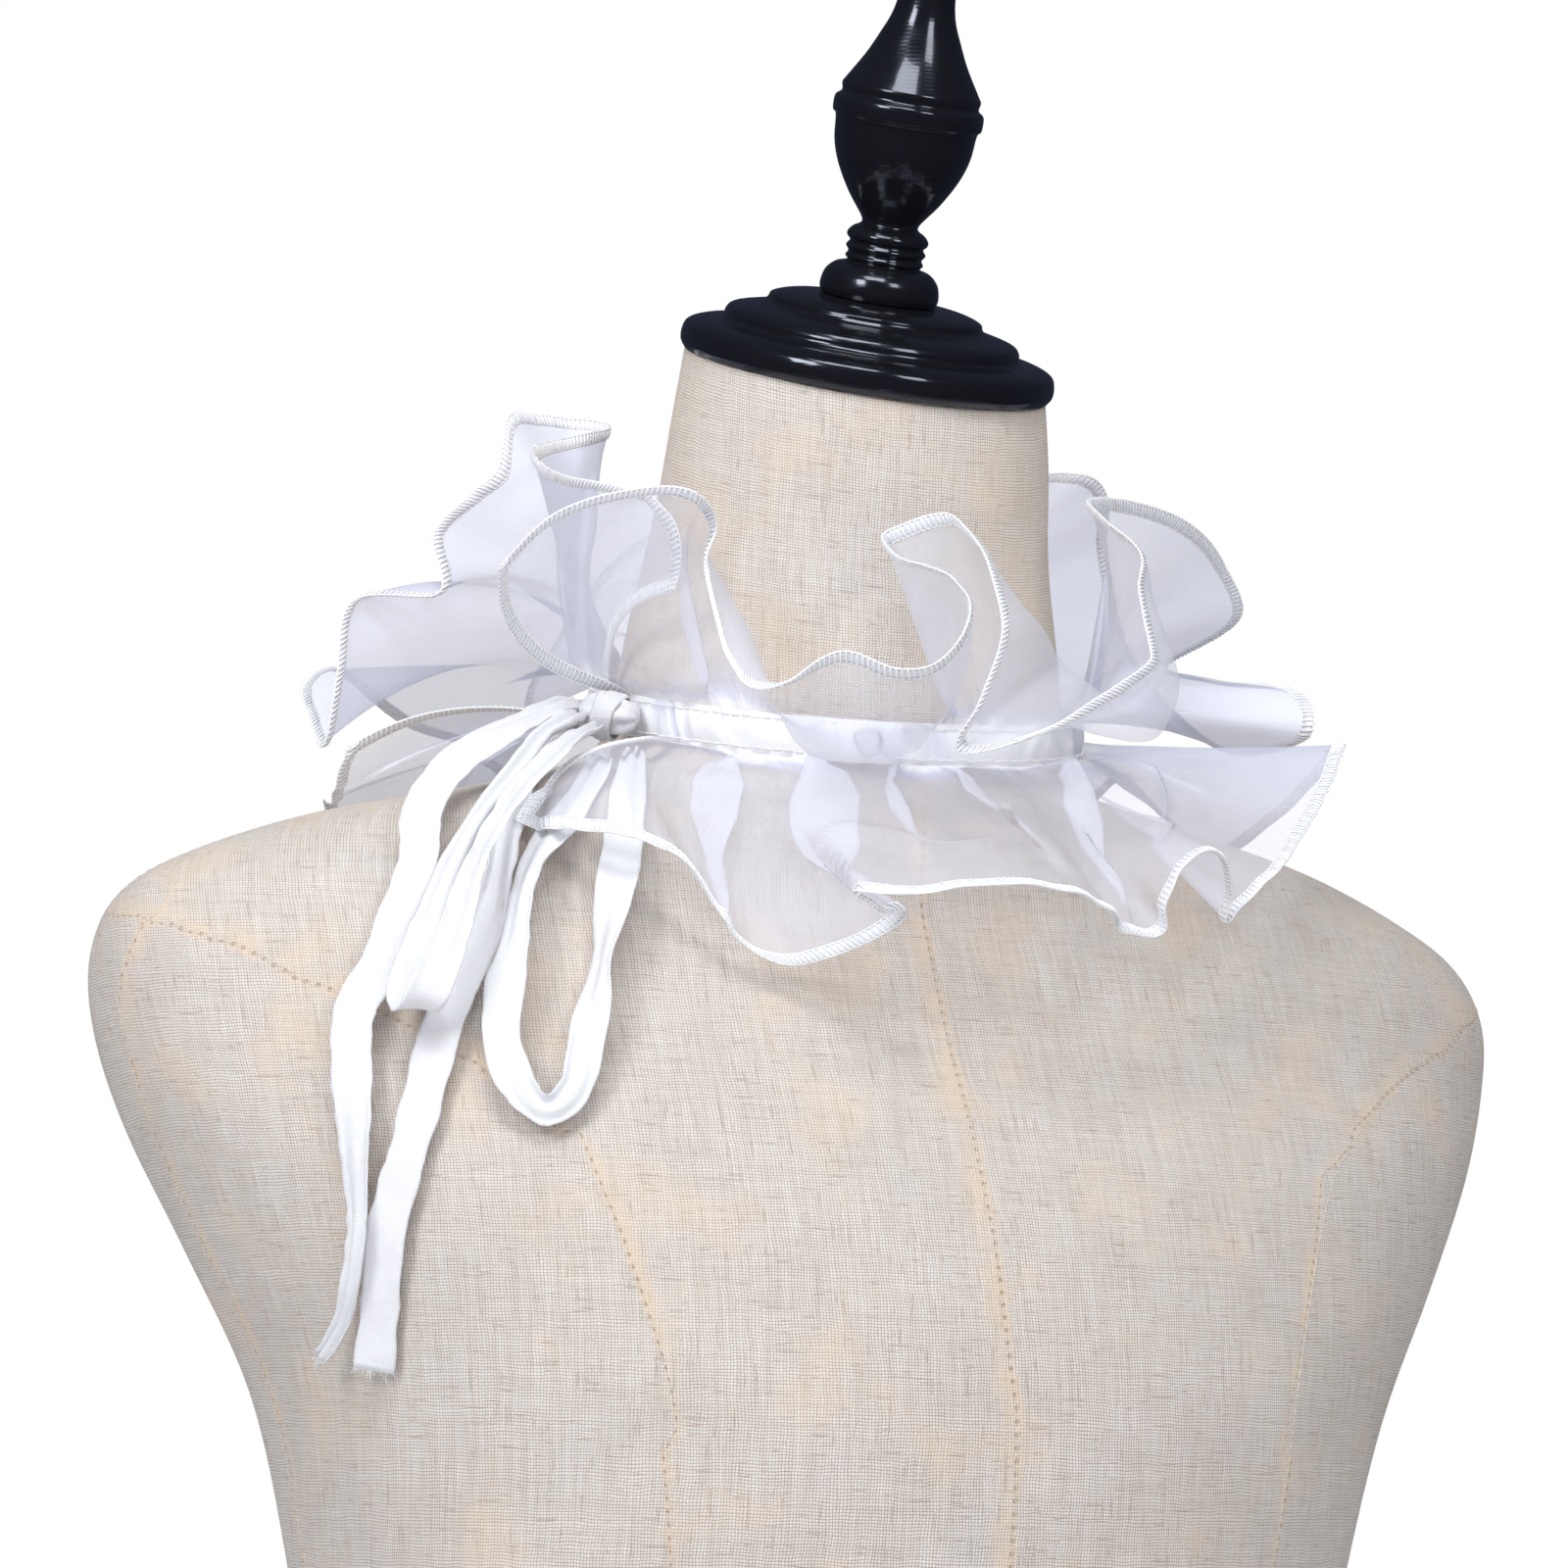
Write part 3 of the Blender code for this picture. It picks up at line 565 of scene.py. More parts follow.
def layFlat(along, across):
    # where each vertex lies in the flat cloth, from lengths in mm
    return np.stack(np.broadcast_arrays(along, across), axis=-1) * mm


def roundPlace(turn, out, up):
    # across, back and up from an angle around the neck, 0 at the front
    return np.stack(np.broadcast_arrays(out * np.sin(turn), -out * np.cos(turn), up), axis=-1)


formCover = {
    "columns": 168, "rowsBetween": 6,
    # height, half width, front, back, forward, lean and squareness of each section, mm and degrees
    "sections": (
        (0, 143, 103, 102, 0, 0, 2.3), (40, 137, 98, 95, 0, 0, 2.3), (70, 127, 93, 86, 0, 0, 2.2),
        (98, 120, 91, 80, 0, 0, 2.2), (128, 119, 94, 80, 0, 0, 2.2), (162, 123, 101, 85, 0, 0, 2.2),
        (200, 129, 108, 92, 0, 0, 2.2), (245, 137, 116, 98, 0, 0, 2.2), (285, 148, 118, 102, 0, 0, 2.2),
        (320, 166, 112, 106, -2, 0, 2.2), (350, 182, 103, 106, -6, 0, 2.2), (374, 191, 90, 101, -8, 0, 2.2),
        (393, 193, 80, 94, -8, 0, 2.2), (408, 187, 72, 86, -8, 0, 2.1), (419, 170, 68, 80, -6, 0, 2.0),
        (430, 140, 65, 76, -3, 0, 2.0), (439, 102, 63, 71, 0, 2, 2.0), (446, 76, 61, 67, 0, 5, 2.0),
        (451, 64, 59, 63, 1, 8, 2.0), (458, 60.5, 57, 60, 2, 10, 2.0), (469, 59, 56, 58, 3, 11, 2.0),
        (488, 56, 54, 56, 5, 13, 2.0), (512, 52, 51, 52, 8, 16, 2.0), (536, 50, 49, 49, 12, 19, 2.0),
        (554, 48, 47, 47, 14, 20, 2.0),
    ),
    # which way the stain beside each seam lies
    "stainSides": {"centreSeam": (1, 0, 0), "backSeam": (1, 0, 0), "chestSeam": (0.3, 0.5, -1),
                   "shoulderSeam": (0, -1, 0), "armSeam": (0, 1, 0)},
    # seams, mirrored about the middle where they aren't on it: points across, ahead and height
    "centreSeam": ((-1, 60, 442), (-2, 62, 421), (-3, 72, 393), (-3, 83, 373), (-3, 94, 355), (-2, 107, 326),
                   (0, 118, 285), (0, 108, 200), (0, 92, 98), (0, 103, 0)),
    "backSeam": ((0, -68, 446), (0, -94, 393), (0, -106, 330), (0, -92, 200), (0, -80, 110), (0, -102, 0)),
    "chestSeam": ((190, -6, 401), (182, 20, 396), (170, 35, 391), (158, 44, 383), (146, 53, 378),
                  (131, 64, 370), (116, 76, 358), (104, 88, 345), (94, 98, 322), (86, 106, 285),
                  (78, 100, 200), (72, 82, 98), (86, 92, 0)),
    "shoulderSeam": ((62, -6, 452), (100, -8, 440), (140, -10, 430), (170, -12, 420), (187, -12, 408)),
    "armSeam": ((190, 14, 400), (190, 4, 382), (186, 3, 366), (180, 2, 350), (168, 0, 324), (155, 2, 298),
                (144, 0, 262), (132, 0, 200), (121, 0, 110), (143, 0, 0)),
}


def sectionSpots(row, turns):
    height, half, front, back, forward, lean, square = row
    side, ahead = np.sin(turns), np.cos(turns)
    power = 2 / square
    x = half * np.sign(side) * np.abs(side) ** power
    y = -np.where(ahead > 0, front, back) * np.sign(ahead) * np.abs(ahead) ** power
    slope = math.radians(lean)
    return np.stack((x, y * math.cos(slope) - forward, height + y * math.sin(slope)), axis=-1)


def seamDistance(points, line, sideways):
    # how far each point is off a seam, signed, and how far along it, both in metres
    line = np.array([(x, -ahead, z) for x, ahead, z in line], float)
    along = np.diff(line, axis=0)
    length = np.linalg.norm(along, axis=1)
    start = np.concatenate(([0], np.cumsum(length)[:-1]))
    rel = points[:, None] - line[None, :-1]
    part = np.clip(np.sum(rel * along, axis=2) / length ** 2, 0, 1)
    gap = points[:, None] - (line[None, :-1] + part[..., None] * along)
    far = np.linalg.norm(gap, axis=2)
    best = np.argmin(far, axis=1)
    pick = np.arange(len(points))
    side = np.sign(np.sum(gap[pick, best] * sideways, axis=1))
    off = side * far[pick, best]
    run = start[best] + part[pick, best] * length[best]
    return np.stack((off, run, 0 * off), axis=1) * mm


def makeForm(kit):
    rows = kit["sections"]
    places = np.linspace(0, len(rows) - 1, (len(rows) - 1) * kit["rowsBetween"] + 1)
    table = splineRows(rows, places)
    turns = np.linspace(-math.pi, math.pi, kit["columns"] + 1)
    spots = np.stack([sectionSpots(row, turns) for row in table], axis=1)
    across = runLength(spots)
    across -= across[kit["columns"] // 2]
    up = runLength(spots.transpose(1, 0, 2)).mean(axis=1)
    form = gridPiece("linenForm", spots, layFlat(across, up), linen, tube=True)
    mesh = form.data
    points = np.array([vert.co for vert in mesh.vertices]) / mm
    mirrored = np.abs(points * (1, 0, 0)) + points * (0, 1, 1)
    for seam in seams:
        places = points if seam in middleSeams else mirrored
        values = seamDistance(places, kit[seam], np.array(kit["stainSides"][seam], float))
        layer = mesh.attributes.new(seam, "FLOAT_VECTOR", "POINT")
        layer.data.foreach_set("vector", values.ravel())
    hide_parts("torso")
    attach(form, "root")
    return form


form = makeForm(formCover)
print("dress form made")

turnedWood = {
    "steps": 112, "between": 5,
    # radius and height of each point of the outline, mm up the neck's leaning middle line
    "cap": ((0, 0.3), (48.2, 0.3), (49.3, 2), (49.4, 4.5), (48.4, 7), (45, 8.5), (40.6, 9.2), (39.2, 10.2),
            (38.8, 11.8), (37, 13.4), (30, 15.2), (28.4, 16.4), (27.6, 17.8), (23, 19.2), (15, 20), (0, 20)),
    "finial": ((0, 20.3), (15.3, 20.3), (15.7, 22.4), (14.9, 25.8), (12.6, 28.2), (9.7, 29.2),
               (10.3, 30.3), (9.7, 31.6), (10.5, 33), (9.7, 34.4), (10.6, 35.5), (10.6, 36.7), (9.4, 38.1),
               (7.6, 39.2), (7.6, 40.5), (9.3, 42.9), (11.8, 46.2), (14.6, 50.8), (16.7, 55.3), (18, 59.9),
               (18.6, 65.8), (19.5, 67), (19.7, 69.2), (19.4, 71), (18, 72.3), (18.2, 74.4), (17.2, 76.2),
               (13.3, 82.7), (10.6, 88.4), (8.3, 94), (7.3, 100), (7.8, 104.4), (10.6, 108.6), (12.4, 114),
               (12, 119), (9.2, 123.4), (1.5, 126.8), (0, 126.8)),
}


def makeTurned(name, outline, nodeName):
    top = formCover["sections"][-1]
    lean = Matrix.Rotation(math.radians(top[5]), 3, "X")
    foot = Vector((0, -top[4], top[0])) * mm
    last = len(outline) - 3
    body = splineRows(outline[1:-1], np.linspace(0, last, last * turnedWood["between"] + 1))
    profile = [outline[0], *body.tolist(), outline[-1]]
    shape = bmesh.new()
    verts = [shape.verts.new(foot + lean @ Vector((radius, 0, up)) * mm) for radius, up in profile]
    edges = [shape.edges.new(pair) for pair in zip(verts, verts[1:])]
    bmesh.ops.spin(shape, geom=verts + edges, cent=foot, axis=lean @ Vector((0, 0, 1)), angle=fullTurn,
                   steps=turnedWood["steps"], use_merge=True)
    bmesh.ops.remove_doubles(shape, verts=shape.verts, dist=1e-6)
    bmesh.ops.recalc_face_normals(shape, faces=shape.faces)
    piece = putMesh(name, shape, blackLacquer, sharp=48)
    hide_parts(nodeName)
    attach(piece, "root")
    return piece


makeTurned("turnedCap", turnedWood["cap"], "neck_cap")
makeTurned("turnedFinial", turnedWood["finial"], "finial")
print("turned wood made")

ring = {
    "height": 465.0, "side": 64.5, "front": 65.0, "dip": 15.0, "tilt": 3.0,
    "casingHalf": 5.4, "opening": (-80, 268), "clear": 3.2,
}


def ringShare(degrees):
    first, last = ring["opening"]
    return (degrees - first) / (last - first)


def ringSpots(degrees, out, up):
    turn = np.radians(degrees)
    x = (ring["side"] + out) * np.sin(turn)
    y = -(ring["front"] + out) * np.cos(turn)
    z = ring["height"] - ring["dip"] * np.cos(turn) + ring["tilt"] * np.sin(turn) + up
    return np.stack(np.broadcast_arrays(x, y, z), axis=-1)


def clearOfForm(spots, clear):
    # moves cloth outwards until it stands clear of the form
    turn = np.arctan2(spots[..., 0], -spots[..., 1]).ravel()
    out = np.hypot(spots[..., 0], spots[..., 1]).ravel()
    side, ahead = np.sin(turn), np.cos(turn)
    outline = []
    for height, half, front, back, forward, lean, square in formCover["sections"]:
        depth = np.where(ahead > 0, front, back)
        reach = ((np.abs(side) / half) ** square + (np.abs(ahead) / depth) ** square) ** (-1 / square)
        level = height - reach * ahead * math.sin(math.radians(lean))
        outline.append(np.stack((reach + forward * ahead, level), axis=-1))
    outline = np.stack(outline, axis=1)
    spot = np.stack((out, spots[..., 2].ravel()), axis=-1)[:, None]
    along = np.diff(outline, axis=1)
    part = np.clip(np.sum((spot - outline[:, :-1]) * along, axis=2) / np.sum(along * along, axis=2), 0, 1)
    nearest = outline[:, :-1] + part[..., None] * along
    best = np.argmin(np.linalg.norm(spot - nearest, axis=2), axis=1)
    pick = np.arange(len(best))
    outward = np.stack((along[pick, best, 1], -along[pick, best, 0]), axis=-1)
    outward /= np.linalg.norm(outward, axis=1, keepdims=True)
    foot = nearest[pick, best]
    apart = np.sum((spot[:, 0] - foot) * outward, axis=1)
    need = np.broadcast_to(clear, spots.shape[:2]).ravel()
    moved = np.where((apart < need)[:, None], foot + outward * need[:, None], spot[:, 0])
    return roundPlace(turn, moved[:, 0], moved[:, 1]).reshape(spots.shape)


ruffles = {
    "columns": 860, "rows": 58, "depthPower": 1.25, "depth": 74,
    "tuck": 0.75, "fineTuck": 0.22, "flutter": 0.6,
    "rootCut": 0.55,                  # metres of flat cloth along the casing
    # how dense the gathers are at the casing and how soon that fades down the cloth, for all of it
    # and for the pleats
    "gathered": (0.9, 0.045), "pleated": (0.4, 0.14),
    # how late the cloth turns from its root towards its edge, and the flute that turns sooner,
    # in a wall of its own before the neck: root and half width in degrees, and how much sooner
    "turning": 1.35, "wall": (9.5, 6.5, 0.92),
    # folds that roll over themselves: 1 where the cloth from the lower degrees lies in front, -1
    # where the other does, then how far the layers part, in mm, then the fold's line as depth down
    # the cloth, root degrees, half width in mm and how much cloth it takes up
    "upperFolds": (
        (1, 2.6, ((0, -53, 6, 1.6), (0.1, -53.5, 7, 2.3), (0.33, -57, 7, 2.3), (0.78, -62, 6, 1.2),
                  (1, -63, 5, 0))),
        (1, 1.6, ((0, -20, 2.4, 2.0), (0.16, -19, 3.4, 2.2), (0.4, -17.5, 3.2, 0))),
        (-1, 1.5, ((0, -14, 2.2, 2.0), (0.12, -14.5, 3.0, 2.0), (0.32, -16, 3, 0))),
        (1, 1.5, ((0, -9.5, 2.2, 2.2), (0.2, -9, 3.2, 2.0), (0.42, -8, 3, 0))),
        (-1, 1.5, ((0, -4.5, 2.2, 2.0), (0.12, -5, 2.6, 2.0), (0.28, -6, 3, 0))),
        (-1, 2.2, ((0, 52, 4, 1.8), (0.2, 51, 6, 2.2), (0.5, 53, 6, 1.6), (0.8, 56, 5, 0))),
        (1, 2.2, ((0, 66, 4, 1.8), (0.2, 67, 6, 2.0), (0.55, 69, 6, 1.2), (0.8, 70, 5, 0))),
    ),
    "lowerFolds": (
        (1, 3.2, ((0, -48, 9, 2.2), (0.2, -48, 10.5, 3), (0.35, -49, 9.5, 3), (0.55, -50.8, 7, 2),
                  (0.8, -52.5, 6, 1.8), (1, -54, 6, 0.8))),
        (-1, 3.0, ((0, -25.5, 11, 2.4), (0.23, -25, 12.5, 3), (0.4, -27, 12.5, 3), (0.6, -29.5, 11.5, 3),
                   (0.75, -31.5, 10, 2.6), (0.9, -33, 8, 1.9), (1, -34.5, 6, 0.9))),
        (1, 2.5, ((0, -9, 6.5, 2.8), (0.2, -10.5, 7, 3), (0.38, -12, 6.5, 2.8), (0.55, -13.2, 5.5, 2),
                  (0.75, -14, 5, 0))),
        (-1, 2.5, ((0, 5, 8, 2.2), (0.23, 3.5, 9, 2.6), (0.5, 5, 8, 1.8), (0.65, 6, 7, 0.8), (0.8, 7, 7, 0))),
        (1, 4.0, ((0, 38, 8, 2), (0.25, 28.5, 9, 2.6), (0.48, 24, 9, 2.4), (0.68, 21, 8, 1.8),
                  (0.8, 18, 7, 1.2), (1, 15, 6, 0))),
        (1, 2.0, ((0, 72, 6, 0.5), (0.3, 66, 7, 1.6), (0.45, 52, 8, 2), (0.58, 41, 7, 1.4),
                  (0.75, 33, 6, 0.8), (1, 30, 6, 0))),
    ),
    # soft folds around the rest of the ring: how many, from and to which degrees, and between which
    # values each one's middle strays, leans, spreads, takes in cloth, stops and parts its layers
    "looseFolds": 15, "looseFrom": 84, "looseTo": 260, "looseStray": (-0.32, 0.32),
    "looseLean": (-7, 7), "looseWide": (5, 9), "looseTake": (1.2, 2.5), "looseStop": (0.5, 1.0),
    "looseHigh": (1.6, 3.2),
    # where the cloth lies double, denser and with painted bluish shade: middle and half width in degrees, and
    # how much denser
    "doubledAndShaded": ((234, 44, 0.42), (106, 44, 0.55)),
    # a long shallow crease across the lower cloth: root degrees of each bend and how far down it is
    "crease": ((16.2, 0.25), (0.6, 0.55), (-6.2, 0.65), (-15.2, 0.70), (-20.4, 0.60), (-22.4, 0.48)),
    "creaseHigh": 2.2, "creaseWide": 3.4,
    # where the upper cloth sags over the casing: middle and half width in degrees, how far in mm
    "sags": ((-29, 10, 13.0), (-14, 9, 7.0), (42, 7, 3.0)),
    # one row for each turn of a free edge: where its root and its edge lie around the ring, in
    # degrees, how far out and up the edge is, in mm, and the cloth's lift, in degrees, and belly, in mm
    "upper": (
        (-80, -66, 123, 22, 2, 42), (-77, -61, 116, 35, 22, 40), (-72, -53, 108, 41, 44, 38),
        (-66, -44, 104, 41, 60, 38), (-58, -43, 92, 34, 70, 42), (-51, -43.5, 95, 24.5, 74, 46),
        (-44, -39, 108, 6, 72, 47), (-38, -34.3, 118, -9, 58, 45), (-32, -28.5, 130, -10.5, 16, 40),
        (-25, -23, 134, -4, -7, 42), (-16, -17, 134, -8, -10, 42), (-7, -12, 132, -3, -7, 40),
        (-2, -9, 126, 10, 12, 36), (2, -10, 117, 18, 40, 36), (6, -14, 99, 25, 60, 34),
        (9, -16, 81, 33, 72, 32), (12, -13, 76, 37, 76, 32), (15, -4, 82, 40, 72, 34),
        (18, -2, 98, 27, 55, 34), (22, -3, 113, 7, 48, 38), (26, -6.3, 114.5, -12, 45, 40),
        (30, -7.7, 109.5, -23, 38, 42), (35, 1, 112, -19, 14, 42), (41, 10, 114, -8, -11, 46),
        (48, 18, 114, 2, -2, 42), (52, 21, 110, 9, 22, 38), (56, 24, 102, 24, 50, 36),
        (60, 29, 96, 35, 60, 36), (64, 33, 80, 46, 72, 34), (68, 43, 70, 54, 78, 34),
        (72, 58, 76, 57, 78, 34), (78, 75, 94, 56, 70, 34), (83, 88, 112, 50, 60, 36),
        (88, 94, 124, 39, 45, 36), (93, 107, 120, 28, 35, 36), (98, 100, 127, 22, 25, 36),
        (102, 87, 134, 17, 15, 36), (107, 84, 134, 4, 0, 36), (112, 100, 130, 4, 5, 34),
        (117, 114, 124, 30, 40, 36), (122, 115, 113, 60, 64, 36), (126, 111, 103, 75, 74, 40),
        (130, 112, 93, 79, 77, 40), (135, 122, 90, 78, 77, 40), (141, 142, 106, 64, 68, 36),
        (147, 152, 126, 38, 44, 36), (154, 154, 136, 10, 12, 34), (161, 158, 136, 2, 5, 34),
        (167, 168, 126, 30, 38, 36), (172, 172, 108, 56, 62, 36), (178, 174, 92, 68, 74, 36),
        (184, 183, 94, 68, 74, 36), (189, 192, 112, 54, 58, 36), (195, 197, 130, 24, 28, 36),
        (201, 199, 135, 6, 8, 34), (205, 214, 136, 4, 4, 34), (208, 233, 138, 14, 8, 34),
        (210, 243, 141, 6, 14, 34), (212, 249, 137, -5, 22, 34), (214, 253, 133, -13, 36, 36),
        (216, 254, 130, 5, 54, 38), (218.5, 252, 127, 26, 64, 40), (220.5, 248, 105, 30, 68, 40),
        (222.5, 246, 107, 46, 72, 40), (225, 241, 98, 59, 74, 40), (228, 238.5, 92, 66.5, 76, 40),
        (231, 236, 91, 81, 78, 40), (234, 227, 87, 84.5, 80, 40), (237, 220, 82, 85, 82, 40),
        (239.5, 218, 74.5, 84.5, 84, 40), (242, 222, 69.5, 81, 84, 40), (245, 233, 70, 77, 81, 38),
        (248, 245, 77, 72, 80, 36), (251, 259, 83, 65, 76, 34), (254, 278, 85, 54.5, 72, 33),
        (257, 294, 85, 48, 72, 32), (260, 301, 82, 45, 74, 30), (263, 305, 80, 38, 78, 28),
        (266, 305, 77, 30, 82, 24), (268, 303, 75, 22, 84, 20),
    ),
    "lower": (
        (-67, -65, 113, -44, -6, 42), (-65, -61, 114, -42, -5, 42), (-63, -55, 114, -43, -4, 42),
        (-61, -49, 112, -45, -2, 42), (-58, -43, 107, -51, -14, 42), (-54, -38, 100, -66, -34, 42),
        (-49, -30, 93.5, -74, -48, 42), (-43, -20, 98, -70, -48, 40), (-37, -14, 105.5, -63, -44, 38),
        (-31, -17.5, 112, -60, -40, 36), (-25, -20, 115.5, -59, -38, 34), (-17, -12, 118, -58, -38, 34),
        (-5, 1, 120, -55, -38, 34), (6, 11, 118, -59, -40, 34), (13, 16, 113, -64, -44, 34),
        (20, 22, 114, -63, -44, 34), (26, 20, 119, -55, -38, 34), (33, 22, 123, -45, -30, 34),
        (38, 28, 123, -43, -28, 34), (43, 33, 119, -51, -38, 34), (47, 35, 115, -58, -46, 34),
        (51, 38, 118, -52, -40, 34), (56, 43, 122, -43, -32, 34), (62, 54, 123, -31, -22, 34),
        (72, 67, 132, -8, -4, 34), (80, 74, 135, -3, 4, 34), (88, 86, 130, -16, -8, 32),
        (98, 100, 127, -25, -16, 32), (108, 112, 132, -12, -4, 32), (116, 119, 135, 0, 8, 32),
        (124, 125, 132, -12, -4, 32), (133, 134, 122, -34, -26, 32), (143, 146, 116, -44, -36, 32),
        (152, 153, 126, -28, -18, 32), (160, 159, 134, -8, 0, 32), (169, 170, 126, -26, -16, 32),
        (178, 182, 114, -46, -36, 32), (188, 190, 120, -38, -26, 32), (196, 195, 132, -16, -6, 32),
        (204, 203, 136, -2, 8, 32), (212, 213, 128, -20, -10, 32), (220, 224, 126, -32, -20, 32),
        (228, 235, 130, -30, -14, 32), (236, 245, 132, -30, -14, 32), (244, 252, 132, -27, -12, 32),
        (252, 257, 131, -29, -8, 34), (260, 262, 131, -24, 4, 38), (268, 265, 130, -17, 12, 42),
    ),
}


def evenPlaces(rows, count):
    # places that part the free edge into equal lengths
    fine = np.linspace(0, len(rows) - 1, 24 * len(rows))
    table = splineRows(rows, fine)
    length = runLength(roundPlace(np.radians(table[:, 1]), table[:, 2], table[:, 3]))
    return np.interp(np.linspace(0, length[-1], count), length, fine)


def baseSpots(rows, way, places, depths):
    root, around, reach, rise, lift, belly = splineRows(rows, places).T[..., None]
    v = depths[None]
    start = ringSpots(root, 0.0, way * (ring["casingHalf"] - 0.2))
    near = np.hypot(start[..., 0], start[..., 1])
    low = start[..., 2] - ring["height"]
    slope = np.radians(lift)
    a, b, c = (1 - v) ** 2, 2 * v * (1 - v), v * v
    out = a * near + b * (near + belly * np.cos(slope)) + c * reach
    up = a * low + b * (low + belly * np.sin(slope)) + c * rise
    first = np.degrees(np.arctan2(start[..., 0], -start[..., 1]))
    first = first + 360 * np.round((root - first) / 360)
    middle, half, sooner = ruffles["wall"]
    wall = sooner * np.exp(-((root - middle) / half) ** 2) * (way > 0)
    turn = np.radians(first + (around - first) * v ** (ruffles["turning"] - wall))
    return roundPlace(turn, out, ring["height"] + up), ringShare(root), v


def slowNoise(share, waves, seed):
    # a smooth uneven line along the cloth, about -1 to 1
    draw = np.random.default_rng(seed)
    knots = draw.uniform(-1, 1, waves + 3)
    place = np.clip(share, 0, 1) * waves
    return splineRows(knots[:, None], place.ravel())[:, 0].reshape(place.shape)


def gatherTucks(share):
    # the uneven little tucks drawn up at the casing, which the casing's edges share
    return ruffles["tuck"] * slowNoise(share, 105, 55) + ruffles["fineTuck"] * slowNoise(share, 240, 56)


def looseFolds(kit, seed):
    # soft folds for the sides and the back, in the same terms as the listed ones
    draw = np.random.default_rng(seed)
    first, last, count = kit["looseFrom"], kit["looseTo"], kit["looseFolds"]
    folds = []
    for i in range(count):
        middle = first + (last - first) * (i + 0.5 + draw.uniform(*kit["looseStray"])) / count
        lean, wide, take = (draw.uniform(*kit[key]) for key in ("looseLean", "looseWide", "looseTake"))
        stop = draw.uniform(*kit["looseStop"])
        line = ((0, middle, wide * 0.7, take), (0.4 * stop, middle + 0.4 * lean, wide, take),
                (0.75 * stop, middle + 0.8 * lean, wide, take * 0.6), (stop, middle + lean, wide * 0.8, 0))
        folds.append((draw.choice((-1, 1)), draw.uniform(*kit["looseHigh"]), line))
    return folds


def foldCloth(base, outer, degrees, v, folds):
    # slides the cloth along itself into folds that overlap, and parts their layers
    length = runLength(base)
    shift, lift = 0 * length, 0 * length
    for hand, high, line in folds:
        line = np.array(line, float)
        middle, wide, take = (np.interp(v[0], line[:, 0], line[:, k]) for k in (1, 2, 3))
        fade = np.minimum(1, v[0] / 0.07) * (v[0] <= line[-1, 0])
        spot = np.array([np.interp(middle[j], degrees, length[:, j]) for j in range(len(middle))])
        d = (length - spot) / wide
        shift -= fade * take * wide * d * np.exp(-d * d)
        layer = -hand * 1.1 * d * np.exp(-(d / 1.5) ** 2) + 0.5 * np.exp(-(d / 1.3) ** 2)
        lift += high * fade * np.minimum(1, take / 1.6) * layer
    place = length + shift
    spots = np.empty_like(base)
    for j in range(base.shape[1]):
        for k in range(3):
            spots[:, j, k] = np.interp(place[:, j], length[:, j], base[:, j, k])
            spots[:, j, k] += lift[:, j] * np.interp(place[:, j], length[:, j], outer[:, j, k])
    return spots


def sagCloth(spots, degrees, v):
    for middle, half, drop in ruffles["sags"]:
        dip = np.exp(-((degrees[:, None] - middle) / half) ** 2) * np.sin(math.pi * v ** 0.7)
        spots = spots - (0, 0, 1) * (drop * dip)[..., None]
    return spots


def creaseCloth(spots, outer, degrees, v):
    bends = np.array(ruffles["crease"])[::-1]
    low = np.interp(degrees, bends[:, 0], bends[:, 1])[:, None]
    inside = np.clip((degrees - bends[0, 0]) / 4, 0, 1) * np.clip((bends[-1, 0] - degrees) / 4, 0, 1)
    ridge = np.exp(-((v - low) * ruffles["depth"] / ruffles["creaseWide"]) ** 2) * inside[:, None]
    return spots + outer * (ruffles["creaseHigh"] * ridge)[..., None]


def makeRuffle(name, key, way, nodeName, seed):
    kit = ruffles
    rows = kit[key]
    depths = np.linspace(0, 1, kit["rows"]) ** kit["depthPower"]
    places = evenPlaces(rows, kit["columns"])
    spots, share, v = baseSpots(rows, way, places, depths)
    outer = unit(np.cross(np.gradient(spots, axis=0), np.gradient(spots, axis=1))) * way
    degrees = np.interp(share[:, 0], (0, 1), ring["opening"])
    tucks = (gatherTucks(share) + 0 * v) * (1 - v) ** 6
    spots = spots + unit(spots * (1, 1, 0)) * tucks[..., None]
    folds = (*kit[key + "Folds"], *looseFolds(kit, seed + 7))
    spots = foldCloth(spots, outer, degrees, v, folds)
    spots = sagCloth(spots, degrees, v) if key == "upper" else creaseCloth(spots, outer, degrees, v)
    ripple = slowNoise(places[:, None] / places[-1] + 0 * v, 150, seed + 3) * kit["flutter"] * v ** 3
    spots = spots + outer * ripple[..., None]
    spots = clearOfForm(spots, (ring["clear"] - 0.6) * np.minimum(1, 0.3 + 5 * v))
    run = runLength(spots[:, -1])
    depth = runLength(spots.transpose(1, 0, 2)).mean(axis=1)
    pleat = 0.5 + 0.5 * slowNoise(share, 130, 57)
    (dense, fade), (more, pleatFade) = kit["gathered"], kit["pleated"]
    gather = np.clip(dense * np.exp(-v / fade) + more * np.exp(-v / pleatFade) * pleat, 0, 1)
    for middle, half, more in kit["doubledAndShaded"]:
        gather = np.clip(gather + more * np.exp(-((degrees[:, None] - middle) / half) ** 4), 0, 1)
    piece = gridPiece(name, spots, layFlat(run[:, None], depth[None]), organza, gather=gather)
    print(name, "edge", round(run[-1]), "mm, depth", round(depth[-1], 1), "mm")
    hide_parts(nodeName)
    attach(piece, "root")
    return piece, spots, (run[-1] * mm, depth[-1] * mm)


